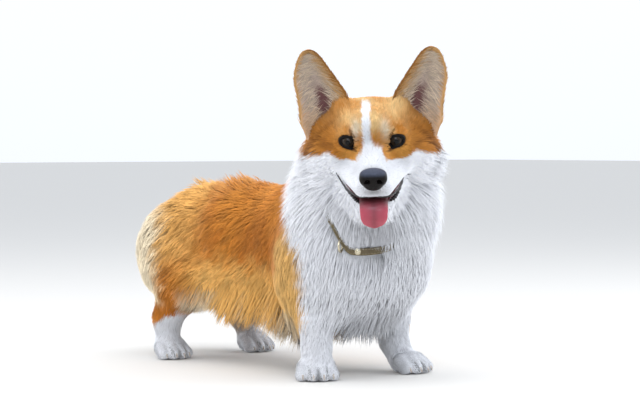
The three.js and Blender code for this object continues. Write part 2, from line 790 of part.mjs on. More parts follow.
// Tail: a short bob under the coat
const tailForm = bar(at(0, 226, 222), at(0, 258, 214), 15, 11, 9);
const tailSpine = new THREE.CatmullRomCurve3([at(0, 232, 221), at(0, 256, 215)]);
const tailSolid = (grow = 0) => wrap(tailForm, tailSpine, 10, 8, 0.5, grow);
const TAIL_ROWS = [{ t: 0.55, from: 0, to: 360, count: 5, length: 40, width: 22, thickness: 6 }];
const tailLie = () => at(0, 0.6, -1).normalize();
const tailLocks = (grow) => lockRows(tailForm, tailSpine, TAIL_ROWS, tailLie, 41, grow);
addNode(corgi, "tail", dressed(tailSolid(), tailLocks(0), []).subtract(trunkGrown), redCoat);

// Rump
const RUMP_ROWS = [
  { t: 0.76, from: -80, to: -10, count: 3, length: 52, width: 38 },
  { t: 0.76, from: 190, to: 260, count: 3, length: 52, width: 38 },
  { t: 0.93, from: 40, to: 140, count: 2, length: 48, width: 34 },
];
const rump = dressed(
  slice(trunkCore, RUMP_Y, FAR),
  lockRows(coat, trunkSpine, RUMP_ROWS, coatLie, 51),
  [tailSolid(GAP), ...tailLocks(GAP), ...pair((side) => thighSolid(side, GAP))],
);
addNode(corgi, "rump", rump, redCoat);

// Legs and feet
const FORE_FEET = { 1: at(FORE_SPREAD, FORE_Y - 18, 0), "-1": at(-FORE_SPREAD - 5, FORE_Y, 0) };
const FORE_TURN = { 1: 4, "-1": -32 };
const HIND_TURN = { 1: 4, "-1": -6 };
const footSpine = new THREE.CatmullRomCurve3([at(0, 10, 13), at(0, -10, 12)]);
const CLAW_RADIUS = 2.6;
const clawSolid = (tip) =>
  tube(
    new THREE.CatmullRomCurve3([
      tip.clone().add(at(0, 2, 3)),
      tip.clone().add(at(0, -9.5, 1.5)),
      tip.clone().add(at(0, -13, -5)),
    ]),
    CLAW_RADIUS,
    0.6,
    4,
    4,
  );
function footSolid(long, wide, x, y, degrees, grow = 0) {
  const turn = new THREE.Matrix4()
    .makeTranslation(x, y, 0)
    .multiply(new THREE.Matrix4().makeRotationZ(THREE.MathUtils.degToRad(degrees)));
  const claws = grow ? [] : toeTips(long, wide).map(clawSolid);
  const made = wasm.Manifold.union([
    wrap(foot(long, wide), footSpine, 14, 10, 1, grow),
    ...claws,
  ]);
  return placed(made, turn).subtract(box(at(-FAR, -FAR, -100), at(FAR, FAR, -grow)));
}

// The breeches: long coat down the back of each thigh
const breechRows = (side) =>
  [0.36, 0.66].map((t) => ({
    t,
    from: side > 0 ? 235 : 200,
    to: side > 0 ? 340 : 305,
    count: 3,
    length: 62,
    width: 36,
  }));

for (const [name, side] of [
  ["left", 1],
  ["right", -1],
]) {
  const foreFoot = (grow) =>
    footSolid(62, 52, FORE_FEET[side].x, FORE_FEET[side].y, FORE_TURN[side], grow);
  const hindFoot = (grow) =>
    footSolid(62, 48, HIND_SPREAD * side, HIND_Y, HIND_TURN[side], grow);
  const breeches = lockRows(coat, thighSpine(side), breechRows(side), coatLie, 61 + side);
  addNode(
    corgi,
    `thigh_${name}`,
    dressed(thighSolid(side), breeches, [shank(side, GAP)]).subtract(trunkGrown),
    redCoat,
  );
  addNode(
    corgi,
    `hind_leg_${name}`,
    shank(side).subtract(thighSolid(side, GAP)).subtract(trunkGrown).subtract(hindFoot(GAP)),
    whiteCoat,
  );
  addNode(corgi, `hind_foot_${name}`, hindFoot(0), whiteCoat);
  addNode(corgi, `upper_arm_${name}`, armSolid(side).subtract(trunkGrown), whiteCoat);
  addNode(
    corgi,
    `foreleg_${name}`,
    forearm(side).subtract(armSolid(side, GAP)).subtract(trunkGrown).subtract(foreFoot(GAP)),
    whiteCoat,
  );
  addNode(corgi, `fore_foot_${name}`, foreFoot(0), whiteCoat);
  addNode(headGroup, `ear_${name}`, earSolid(side).subtract(headGrown), redCoat);
}

// The origin is on the floor, under the middle of the whole model.
const middle = new THREE.Box3().setFromObject(corgi, true).getCenter(at(0, 0, 0));
corgi.position.set(-middle.x, -middle.y, 0);

export default corgi;
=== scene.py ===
# %% [markdown]
# # A standing Pembroke Welsh Corgi, life size
# This lesson dresses a solid model of a corgi with skin, coat, eyes, nose, mouth, claws and a collar. The
# solids that it starts from are in metres, with Z up, the rump towards +Y and the dog's left side at +X.
# The body's forms are worked out in millimetres, because a dog's measures read best that way, and each
# mesh is turned into metres when it is made.

import json
import math
import time

import bmesh
import bpy
import numpy as np
import openvdb
from mathutils import Matrix, Vector, kdtree

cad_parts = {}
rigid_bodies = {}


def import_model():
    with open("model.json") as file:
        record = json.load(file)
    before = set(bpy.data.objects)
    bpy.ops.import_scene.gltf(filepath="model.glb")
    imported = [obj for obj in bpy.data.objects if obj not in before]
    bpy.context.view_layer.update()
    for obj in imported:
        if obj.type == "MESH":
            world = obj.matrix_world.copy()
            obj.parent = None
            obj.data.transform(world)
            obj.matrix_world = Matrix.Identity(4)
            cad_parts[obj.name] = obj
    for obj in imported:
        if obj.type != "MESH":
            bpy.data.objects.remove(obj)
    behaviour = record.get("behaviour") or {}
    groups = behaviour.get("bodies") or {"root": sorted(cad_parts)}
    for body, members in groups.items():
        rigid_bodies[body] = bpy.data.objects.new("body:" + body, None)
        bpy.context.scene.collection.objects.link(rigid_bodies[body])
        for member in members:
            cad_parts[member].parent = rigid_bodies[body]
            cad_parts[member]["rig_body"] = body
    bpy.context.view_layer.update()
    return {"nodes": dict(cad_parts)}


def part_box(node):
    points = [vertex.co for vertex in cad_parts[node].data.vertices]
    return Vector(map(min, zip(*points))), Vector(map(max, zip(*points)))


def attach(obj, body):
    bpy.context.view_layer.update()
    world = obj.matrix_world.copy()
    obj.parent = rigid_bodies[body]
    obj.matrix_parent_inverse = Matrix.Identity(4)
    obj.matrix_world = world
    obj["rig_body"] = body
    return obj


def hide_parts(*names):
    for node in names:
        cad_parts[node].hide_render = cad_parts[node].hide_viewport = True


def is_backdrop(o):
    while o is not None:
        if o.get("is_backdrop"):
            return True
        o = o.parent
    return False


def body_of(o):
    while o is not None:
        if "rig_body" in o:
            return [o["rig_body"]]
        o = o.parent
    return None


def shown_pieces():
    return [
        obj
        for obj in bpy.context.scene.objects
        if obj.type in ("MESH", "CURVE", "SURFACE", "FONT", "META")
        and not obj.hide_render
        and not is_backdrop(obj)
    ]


started = time.time()
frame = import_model()
print("solids loaded:", len(frame["nodes"]))


def elapsed():
    return f"after {time.time() - started:.1f} s"

# %% [markdown]
# ## Where the head is
# The head has its own frame: the origin lies midway between the eyes, -Y points along the muzzle and Z up
# through the skull. The model is centred on the floor, so the dog's own frame is shifted by what the
# solid eyes' place says.

# %% Frames of the dog and of its head
MM = 0.001
EYES_AT = np.array([-70.5, -296.0, 347.0])
HEAD_TURN = {"yaw": math.radians(-41), "pitch": math.radians(18), "roll": math.radians(-1.5)}
EYE_SPACING = 67.0
EYE_RADIUS = 12.0
EYE_DEPTH = 1.0

HEAD_AXES = np.array(
    Matrix.Rotation(HEAD_TURN["yaw"], 3, "Z")
    @ Matrix.Rotation(HEAD_TURN["roll"], 3, "Y")
    @ Matrix.Rotation(HEAD_TURN["pitch"], 3, "X")
)


def to_head(points):
    return (points - EYES_AT) @ HEAD_AXES


def from_head(points):
    return points @ HEAD_AXES.T + EYES_AT


def middle_of(node):
    low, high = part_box(node)
    return (np.array(low) + np.array(high)) / 2


eyes_middle = (middle_of("eye_left") + middle_of("eye_right")) / 2
SHIFT = eyes_middle - from_head(np.array([0.0, EYE_DEPTH, 0.0])) * MM
print("the dog's frame is shifted by", SHIFT.round(4))

# %% [markdown]
# ## Forms as fields
# A living body is a run of soft forms that flow into one another. It could be sculpted, or lofted from
# rings, but fields are the easiest way to make forms melt together: each form tells how far a point lies
# from its surface, and a smooth minimum of two forms makes a fillet between them. Each form also takes a
# share: 0 is the skin, and 1 is the tips of the coat. So the same fields give the skin and guide the
# hair.

# %% Field helpers
def length_of(v):
    return np.sqrt(np.einsum("...i,...i->...", v, v))


def unit(v):
    return v / np.maximum(length_of(v), 1e-9)[..., None]


def spline(points, t):
    """A smooth curve through points, at values of t from 0 to 1."""
    points = np.asarray(points, float)
    padded = np.array([2 * points[0] - points[1], *points, 2 * points[-1] - points[-2]])
    position = np.clip(np.asarray(t, float), 0, 1) * (len(points) - 1)
    index = np.minimum(position.astype(int), len(points) - 2)
    f = (position - index)[..., None]
    a, b, c, d = (padded[index + k] for k in range(4))
    return 0.5 * (2 * b + (c - a) * f + (2 * a - 5 * b + 4 * c - d) * f**2 + (3 * b - 3 * c + d - a) * f**3)


def on_side(points, side):
    return points * np.array([side, 1.0, 1.0])


def blend_over(value, low, high):
    t = np.clip((value - low) / (high - low), 0.0, 1.0)
    return t * t * (3.0 - 2.0 * t)


def ball(centre, radii, coat=0.0, yaw=0.0):
    centre = np.array(centre, float)
    radii = np.array(radii, float)
    turn = np.array(Matrix.Rotation(yaw, 3, "Z"))

    def field(p, share):
        r = radii + coat * np.asarray(share, float)[..., None]
        q = (p - centre) @ turn / r
        near = length_of(q)
        slope = np.maximum(length_of(q / r), 1e-6)
        return np.where(near < 1e-3, -radii.min(), near * (near - 1.0) / slope)

    return field


def bar(start, end, start_radius, end_radius, coat=0.0, end_coat=None):
    start = np.array(start, float)
    axis = np.array(end, float) - start
    end_coat = coat if end_coat is None else end_coat

    def field(p, share):
        t = np.clip((p - start) @ axis / (axis @ axis), 0.0, 1.0)
        first = start_radius + coat * share
        radius = first + (end_radius + end_coat * share - start_radius - coat * share) * t
        return length_of(p - start - t[..., None] * axis) - radius

    return field


def smooth_min(a, b, k):
    h = np.maximum(k - np.abs(a - b), 0.0) / k
    return np.minimum(a, b) - h * h * k / 4.0


def smooth_max(a, b, k):
    return -smooth_min(-a, -b, k)


def melt(k, *forms):
    def field(p, share):
        total = forms[0](p, share)
        for form in forms[1:]:
            total = smooth_min(total, form(p, share), k)
        return total

    return field


def pair(make):
    return [make(1), make(-1)]


# %% [markdown]
# ## The body's forms
# Trunk, neck, thighs and upper arms melt into one mass. A corgi is long and low: the legs are short, the
# chest is deep and broad, and the ruff is the widest thing on it.

# %% Trunk, neck, thighs and legs
BACK = 287.0
CHEST_FLOOR = 98.0
FORE_Y = -190.0
HIND_Y = 176.0
FORE_SPREAD = 80.0
HIND_SPREAD = 84.0

trunk = melt(
    26,
    ball((0, -92, (BACK + CHEST_FLOOR) / 2 - 4), (72, 132, 86), 17),
    ball((0, -200, 178), (73, 57, 70), 32),
    ball((0, -135, 238), (46, 66, 36), 12),
    ball((0, 62, 192), (66, 118, 73), 20),
    ball((0, 178, 200), (64, 72, 64), 16),
    *pair(lambda side: ball((62 * side, -170, 168), (34, 60, 72), 22)),
)
neck = melt(
    30,
    bar((0, -140, 215), (-22, -218, 326), 66, 50, 20, 22),
    ball((-5, -210, 256), (72, 50, 68), 42, HEAD_TURN["yaw"]),
)
tail = bar((0, 226, 222), (0, 258, 214), 15, 11, 9)


def thigh(side):
    return melt(
        22,
        ball((58 * side, 197, 168), (34, 60, 61), 21),
        bar((66 * side, 176, 142), (76 * side, 156, 116), 42, 32, 12),
    )


def upper_arm(side):
    return ball((76 * side, -158, 138), (26, 36, 42), 12)


def hind_leg(side):
    hock = ((HIND_SPREAD - 2) * side, HIND_Y + (34 if side > 0 else 10), 64)
    knee = (76 * side, hock[1] - 34, 122)
    return melt(
        12,
        bar(knee, hock, 30, 17, 8),
        bar(hock, (HIND_SPREAD * side, HIND_Y + 6, 22), 14.5, 15, 5.5),
    )


def foreleg(side):
    left = side > 0
    elbow = (82, -160, 118) if left else (-76, -168, 118)
    middle = (82, -172, 80) if left else (-78, -182, 80)
    wrist = (79 * side, FORE_Y + (14 if left else 6), 46)
    pastern = (81 * side, FORE_Y + (4 if left else 2), 28)
    return melt(
        12,
        bar(elbow, middle, 25, 19.5, 6),
        bar(middle, wrist, 19.5, 17, 4),
        bar(wrist, pastern, 17, 17, 4),
    )


def flank_fold(side):
    """The skin that runs from the thigh's front to the belly."""
    return bar((66 * side, 156, 130), (52 * side, -10, 138), 22, 12, 14)


mass = melt(24, trunk, neck, *pair(thigh), *pair(upper_arm), *pair(flank_fold))
legs = melt(4, *pair(foreleg), *pair(hind_leg))

# %% Feet, each in its own frame
FEET = {
    "fore_left": {"at": (FORE_SPREAD, FORE_Y - 18), "turn": 4, "long": 62, "wide": 52},
    "fore_right": {"at": (-FORE_SPREAD - 5, FORE_Y), "turn": -32, "long": 62, "wide": 52},
    "hind_left": {"at": (HIND_SPREAD, HIND_Y), "turn": 4, "long": 62, "wide": 48},
    "hind_right": {"at": (-HIND_SPREAD, HIND_Y), "turn": -6, "long": 62, "wide": 48},
}
TOE_ANGLES = [-24, -8, 8, 24]


def foot_axes(foot):
    return np.array(Matrix.Rotation(math.radians(foot["turn"]), 3, "Z"))


def from_foot(foot, points):
    return np.asarray(points, float) @ foot_axes(foot).T + np.array([*foot["at"], 0.0])


def toe_tips(foot):
    tips = []
    for degrees in TOE_ANGLES:
        reach = foot["long"] * (0.38 if abs(degrees) < 10 else 0.26)
        tips.append(np.array([math.sin(math.radians(degrees)) * foot["wide"] * 1.05, -reach, 8.5]))
    return tips


def foot_form(foot):
    toes = [bar((tip[0] * 0.81, tip[1] + 15, 19), tip, 9.6, 8.8, 1.6) for tip in toe_tips(foot)]
    pad = ball((0, 6, 15), (foot["wide"] * 0.4, foot["long"] * 0.34, 17), 2.5)
    whole = melt(3.5, *toes, pad)
    origin = np.array([*foot["at"], 0.0])
    axes = foot_axes(foot)
    return lambda p, share: whole((p - origin) @ axes, share)


feet = melt(2, *[foot_form(foot) for foot in FEET.values()])

# %% [markdown]
# ## The head's forms
# The skull, brow, cheeks and muzzle are what make the face, so they have more forms than the whole trunk.
# The lower jaw is a field of its own, so that the mouth can stand open between the two.

# %% Head and jaw
skull_forms = melt(
    12,
    ball((0, 42, 8), (55, 56, 35), 4),
    bar((-30, 44, 28), (30, 44, 28), 15, 15, 4),
    ball((0, 12, 10), (42, 25, 26), 4),
    *pair(lambda side: ball((38 * side, 26, -22), (27, 36, 28), 8)),
    bar((0, -2, -26), (0, -58, -33), 30, 19, 2.5),
    *pair(lambda side: bar((31 * side, -2, -40), (12.5 * side, -56, -50), 17, 13, 2.5)),
    *pair(lambda side: ball((56 * side, 46, -28), (20, 26, 32), 20)),
)
jaw_forms = melt(
    10,
    *pair(lambda side: bar((30 * side, 10, -60), (11 * side, -42, -84), 15, 11, 4)),
    ball((0, -46, -84), (15, 12, 10), 3),
)
ear_roots = melt(14, *pair(lambda side: bar((37 * side, 44, 24), (66 * side, 52, -4), 16, 19, 4)))
mouth_room = melt(
    8,
    ball((0, -30, -66), (24, 40, 7)),
    *pair(lambda side: bar((36 * side, -14, -57), (14 * side, -50, -72), 4.5, 4)),
)


def eye_centre(side):
    return np.array([EYE_SPACING / 2 * side, EYE_DEPTH, 0.0])


eye_mounds = melt(2, *pair(lambda side: ball(eye_centre(side), [EYE_RADIUS + 1.6] * 3, 1.5)))


def head_field(p, share):
    h = to_head(p)
    upper = smooth_min(skull_forms(h, share), ear_roots(h, share), 12)
    upper = smooth_min(upper, eye_mounds(h, share), 7)
    return smooth_min(upper, jaw_forms(h, share), 3)


# %% [markdown]
# The dark skin round an eye and the opening between the lids are both almonds with a low inner corner.
# Each is told by its radius at every angle round the eye, where 0 points away from the nose.

# %% Almonds round the eyes
LID_EDGE = {"half": (13.6, 9.2), "corner": 4.2, "middle": (-0.6, 0.9)}
LID_OPENING = {"half": (9.2, 5.7), "corner": 2.6, "middle": (0.6, 1.2)}
EYE_TILT = math.radians(12)
CORNER_ANGLE = math.radians(205)


def almond_radius(almond, angle):
    turned = angle - EYE_TILT
    half_long, half_high = almond["half"]
    ellipse = 1 / np.hypot(np.cos(turned) / half_long, np.sin(turned) / half_high)
    off_corner = (angle - CORNER_ANGLE + math.pi) % (2 * math.pi) - math.pi
    corner = almond["corner"] * np.exp(-((off_corner / 0.55) ** 2))
    shift = np.cos(angle) * almond["middle"][0] + np.sin(angle) * almond["middle"][1]
    return ellipse + corner + shift


def almond_share(h, side, almond):
    """1 on the almond's edge as seen from the front, and less inside it."""
    away = h - eye_centre(side)
    angle = np.arctan2(away[..., 2], away[..., 0] * side)
    return np.hypot(away[..., 0], away[..., 2]) / almond_radius(almond, angle)


def carved_head(p, share):
    h = to_head(p)
    whole = smooth_max(head_field(p, share), -mouth_room(h, 0.0), 3)
    for side in (1, -1):
        socket = length_of(h - eye_centre(side)) - EYE_RADIUS - 0.4
        window = np.maximum((almond_share(h, side, LID_EDGE) - 1.0) * 10.0, h[..., 1] - 8.0)
        whole = smooth_max(whole, -np.minimum(socket, window), 1.5)
    return whole


def body_field(p, share):
    total = smooth_min(mass(p, share), legs(p, share), 12)
    total = smooth_min(total, tail(p, share), 14)
    return smooth_min(total, feet(p, share), 10)


def coat_field(p, share):
    return smooth_min(body_field(p, share), head_field(p, share), 26)


# %% [markdown]
# ## The collar's place
# The collar hangs lowest at the dog's front right and lies in the coat. The coat closes over it except in
# front, so the skin and the hair give way there.

# %% Collar values
COLLAR_CENTRE = np.array([-4.0, -196.0])
COLLAR_FRONT = math.radians(-130)
COLLAR_LOW = 188.0
COLLAR_RISE = 98.0
COLLAR_RADIUS = 84.0
COLLAR_HALF_WIDTH = 5.5
COLLAR_THICKNESS = 4.0
COLLAR_SHOWN = (math.radians(21), math.radians(38))
SHOWN_MIDDLE = -0.05
PULL_HEIGHT = 47.0
PULL_FRONT = (math.radians(-9), math.radians(-42))
PULL_BACK = (math.radians(-165), math.radians(-80))
GROOVE_SLOPE = 1.3
GROOVE_DEPTH = 60.0
GROOVE_GAP = 1.0


def collar_rise(turn):
    """How far the collar rises above its lowest place. It is pulled up on the dog's right."""
    pulled = blend_over(turn, *PULL_FRONT) * blend_over(turn, *PULL_BACK)
    return COLLAR_RISE * np.sin(turn / 2) ** 2 + PULL_HEIGHT * pulled


def collar_place(p):
    """Radius round the neck, height over the strap's middle, and how open the coat is. The turn round the neck
    sets the last two.
    """
    away = p[..., :2] - COLLAR_CENTRE
    turn = (np.arctan2(away[..., 1], away[..., 0]) - COLLAR_FRONT + math.pi) % (2 * math.pi) - math.pi
    up = p[..., 2] - COLLAR_LOW - collar_rise(turn)
    shown = blend_over(np.abs(turn - SHOWN_MIDDLE), COLLAR_SHOWN[1], COLLAR_SHOWN[0])
    return np.hypot(away[..., 0], away[..., 1]), up, shown


def collar_groove(p):
    """Less than 0 where the skin is cut away for the strap."""
    radius, up, shown = collar_place(p)
    side = np.abs(up) - COLLAR_HALF_WIDTH - GROOVE_GAP - np.maximum(radius - COLLAR_RADIUS, 0) / GROOVE_SLOPE
    deep = np.abs(radius - COLLAR_RADIUS - GROOVE_DEPTH / 2) - GROOVE_DEPTH / 2 - GROOVE_GAP
    return np.maximum(side, deep) + 2 * GROOVE_DEPTH * (1 - shown)


# %% [markdown]
# ## The skin
# One skin covers the whole dog, so that no seam shows between head, neck, trunk and legs. The fields are
# first sampled on a coarse grid to find where the surface is, and only the cells near it are sampled
# finely. OpenVDB, which comes with Blender, then turns the fine grid into an even mesh of quads.

# %% Mesh a field
UNDERCOAT = 0.34


def sampled(field, points, chunk=200_000):
    return np.concatenate([field(points[i : i + chunk]) for i in range(0, len(points), chunk)])


def mesh_field(field, low, high, voxel, coarse=4):
    counts = np.ceil((np.array(high) - low) / (voxel * coarse)).astype(int) + 1
    rough_points = np.stack(np.meshgrid(*[np.arange(n) for n in counts], indexing="ij"), -1) + 0.5
    rough = sampled(field, rough_points.reshape(-1, 3) * voxel * coarse + low).reshape(counts)
    near = np.abs(rough) < voxel * coarse * 1.6
    fine = rough.astype(np.float32)
    for axis in range(3):
        fine = np.repeat(fine, coarse, axis)
        near = np.repeat(near, coarse, axis)
    cells = np.argwhere(near)
    fine[near] = sampled(field, cells * voxel + low)
    grid = openvdb.FloatGrid()
    grid.copyFromArray(fine)
    points, quads = grid.convertToQuads(isovalue=0.0)
    return points.astype(float) * voxel + low, quads.astype(np.int64)


def mesh_object(name, points, *face_arrays, material=None):
    mesh = bpy.data.meshes.new(name)
    mesh.vertices.add(len(points))
    mesh.vertices.foreach_set("co", (np.asarray(points, float) * MM + SHIFT).ravel())
    sizes = np.concatenate([np.full(len(faces), faces.shape[1]) for faces in face_arrays])
    corners = np.concatenate([faces.ravel() for faces in face_arrays])
    mesh.loops.add(len(corners))
    mesh.loops.foreach_set("vertex_index", corners)
    mesh.polygons.add(len(sizes))
    mesh.polygons.foreach_set("loop_start", np.cumsum(sizes) - sizes)
    mesh.update(calc_edges=True)
    mesh.shade_smooth()
    piece = bpy.data.objects.new(name, mesh)
    bpy.context.scene.collection.objects.link(piece)
    if material:
        mesh.materials.append(material)
    return piece


SKIN_VOXEL = 2.6
SKIN_LOW = np.array([-150.0, -415.0, -6.0])
SKIN_HIGH = np.array([150.0, 300.0, 420.0])


def skin_field(p):
    carved = smooth_min(body_field(p, UNDERCOAT), carved_head(p, UNDERCOAT), 16)
    carved = smooth_max(carved, -collar_groove(p), 3)
    return np.maximum(carved, 0.4 - p[..., 2])


skin_points, skin_quads = mesh_field(skin_field, SKIN_LOW, SKIN_HIGH, SKIN_VOXEL)
skin = mesh_object("skin", skin_points, skin_quads)
print("skin:", len(skin_points), "points,", len(skin_quads), "quads,", elapsed())

# %% [markdown]
# ## An unwrap of the skin
# Each tuft of hair later takes a small patch of the picture at its root's place, so the skin needs a flat
# layout of its own shape. Smart UV Project cuts the skin where it bends most, which is quick and has no
# overlap.

# %% Unwrap the skin
BAKE_MAP = "OFBake"


def unwrap(piece):
    bpy.context.view_layer.objects.active = piece
    piece.select_set(True)
    piece.data.uv_layers.new(name=BAKE_MAP)
    bpy.ops.object.mode_set(mode="EDIT")
    bpy.ops.mesh.select_all(action="SELECT")
    bpy.ops.uv.smart_project(angle_limit=math.radians(72), island_margin=0.002)
    bpy.ops.object.mode_set(mode="OBJECT")
    piece.select_set(False)


def corner_uvs(piece, corners_per_face):
    layer = piece.data.uv_layers[BAKE_MAP]
    flat = np.empty(len(piece.data.loops) * 2, np.float32)
    layer.uv.foreach_get("vector", flat)
    return flat.reshape(-1, corners_per_face, 2)


unwrap(skin)
skin_uvs = corner_uvs(skin, 4)
print("unwrapped,", elapsed())

# %% [markdown]
# ## Markings
# The markings are painted by rules on the body, as a breeder would tell them: a red coat, a white blaze,
# muzzle, ruff, chest and legs, a paler rump and fringe. Painted light and shade are laid in with them:
# highlight on the back, the rump and the top of the head, light on the low flank and the rump's edge, a
# blue tint of sky light on white, and shade in the face's folds, by the eyes, on the muzzle's top, the thigh
# and the far hind leg, under the chin and the chest, and between the toes. The skin and every tuft ask the
# same function, so they always agree.

# %% Soft random values
def ripple(p, size, seed):
    draw = np.random.default_rng(seed)
    total = 0.0
    for _ in range(7):
        direction = unit(draw.normal(size=3)) * draw.uniform(0.6, 1.5) * 2 * math.pi / size
        total = total + np.sin(p @ direction + draw.uniform(0, 2 * math.pi))
    return total / 3.2


# %% Colours of the coat, as linear values
DEEP_RED = np.array([0.50, 0.155, 0.014])
FOX_RED = np.array([0.70, 0.262, 0.034])
GOLD = np.array([0.80, 0.43, 0.12])
BROWN_IN_SHADOW = np.array([0.36, 0.25, 0.16])
CREAM = np.array([0.86, 0.73, 0.53])
# WHITE is the hair's own white with a little blue in it, which is painted sky light.
WHITE = np.array([0.89, 0.912, 0.968])
UNDER_NOSE_GREY = np.array([0.34, 0.33, 0.35])
BLACK_SKIN = np.array([0.012, 0.010, 0.011])
MOUTH_PINK = np.array([0.16, 0.035, 0.042])
MUZZLE_SHADE = 0.17
CHIN_SHADE = 0.24
KEEL_SHADE = 0.36
CLEFT_SHADE = 0.62


def mixed(a, b, amount):
    return a + (b - a) * np.asarray(amount)[..., None]


def soft_spot(p, centre, spread):
    """1 at a centre, fading to 0 around it."""
    return np.exp(-(((p - np.array(centre)) / np.array(spread)) ** 2).sum(-1))


def face_white(h):
    """How white the face is at points of the head's frame."""
    x, y, z = np.abs(h[..., 0]), h[..., 1], h[..., 2]
    signed = h[..., 0]
    wobble = 1.3 * ripple(h, 22, 3) + 0.7 * ripple(h, 7, 4)
    # The blaze leans a little to the dog's right, narrows upwards and stops on the forehead.
    middle = -4.5 - 3.0 * blend_over(z, -6, 30)
    half = 5.4 + 1.0 * blend_over(z, 22, 4) + 12.0 * blend_over(z, 0, -16)
    blaze = blend_over(np.abs(signed - middle) + wobble, half + 2.6, half - 2.2) * blend_over(z, 50, 45)
    # Red patches lie round the eyes. Below them the muzzle and the cheeks are white.
    patch = np.hypot((x - 36.0) / 22.0, (z + 3.0) / 17.0)
    patch = blend_over(patch + 0.03 * wobble, 1.06, 0.94)
    cheek_line = -9.0 - 0.20 * x + 0.10 * y + 8.0 * np.exp(-(((x - 58.0) / 8.0) ** 2))
    low = blend_over(z + wobble, cheek_line + 3, cheek_line - 3)
    low = low * np.maximum(blend_over(y, 62, 44), blend_over(z, -14, -28))
    low = np.maximum(low, blend_over(y, -22, -32))
    return np.clip(np.maximum(blaze * blend_over(y, 40, 30), low * (1 - patch)), 0, 1)


def brow_spots(h):
    """Pale spots over the inner corners of the eyes."""
    spots = 0.0
    for side in (1, -1):
        spots = spots + 1.25 * soft_spot(h, [19.0 * side - 2.0, -6.0, 16.0], [6.5, 16.0, 12.0])
    return np.clip(spots + 0.25 * spots * ripple(h, 6, 9), 0, 1)


EYE_SHADOW_PATH = [(22, -16, -8), (22.5, -12, 2), (27, -10, 10), (30, -6, 15)]


def eye_corner_shadows(h):
    """Painted shadow that runs up from the inner corner of each eye."""
    corner_shadows = 0.0
    for side in (1, -1):
        path = spline(on_side(np.array(EYE_SHADOW_PATH, float), side), np.linspace(0, 1, 7))
        nearest = np.min([length_of((h - spot) * np.array([1.0, 0.3, 1.0])) for spot in path], axis=0)
        corner_shadows = np.maximum(corner_shadows, blend_over(nearest + 0.6 * ripple(h, 5, 10), 3.6, 1.6))
    return corner_shadows


def head_share(p):
    """1 on the head, 0 on the body, with a soft change in the ruff."""
    return blend_over(body_field(p, 0.0) - head_field(p, 0.0), -4.0, 8.0)


# Each fold is a line of places on the dog's left side, with how dark its painted shade is.
FOLD_SHADE_LINES = [
    ([(47, 4, -3), (54, 14, -4), (62, 22, -5)], 0.5),
    ([(56, 18, 17), (62, 24, 9), (70, 28, 0), (78, 30, -10), (82, 30, -20)], 1.0),
]


def painted_fold_shade(h):
    """How dark the painted shade in the folds of the face is: behind each eye, and from the ear's base down to
    the cheek.
    """
    shade = 0.0
    uneven = 1.0 * ripple(h, 16, 13)
    for side in (1, -1):
        for fold, strength in FOLD_SHADE_LINES:
            path = spline(on_side(np.array(fold, float), side), np.linspace(0, 1, 24))
            for spot, share in zip(path, np.linspace(0.3, 1.0, 24)):
                away = np.hypot(h[..., 0] - spot[0], h[..., 2] - spot[2]) + uneven
                shade = np.maximum(shade, strength * share * blend_over(away, 7.0 * share, 0.4))
    return shade * blend_over(h[..., 1], 70, 50)


def toe_clefts(p):
    """The shade between the toes."""
    shade = 0.0
    for foot in FEET.values():
        q = (p - np.array([*foot["at"], 0.0])) @ foot_axes(foot)
        tips = toe_tips(foot)
        for first, second in zip(tips[:-1], tips[1:]):
            front = (first + second) / 2
            off_line = np.abs(q[..., 0] - front[0] * (0.85 - 0.15 * (q[..., 1] - front[1]) / 20))
            near = blend_over(q[..., 1], front[1] + 18, front[1] + 8) * blend_over(q[..., 2], 26, 16)
            near = near * (np.abs(q[..., 1]) < 45)
            shade = np.maximum(shade, blend_over(off_line, 2.4, 0.6) * near)
    return shade


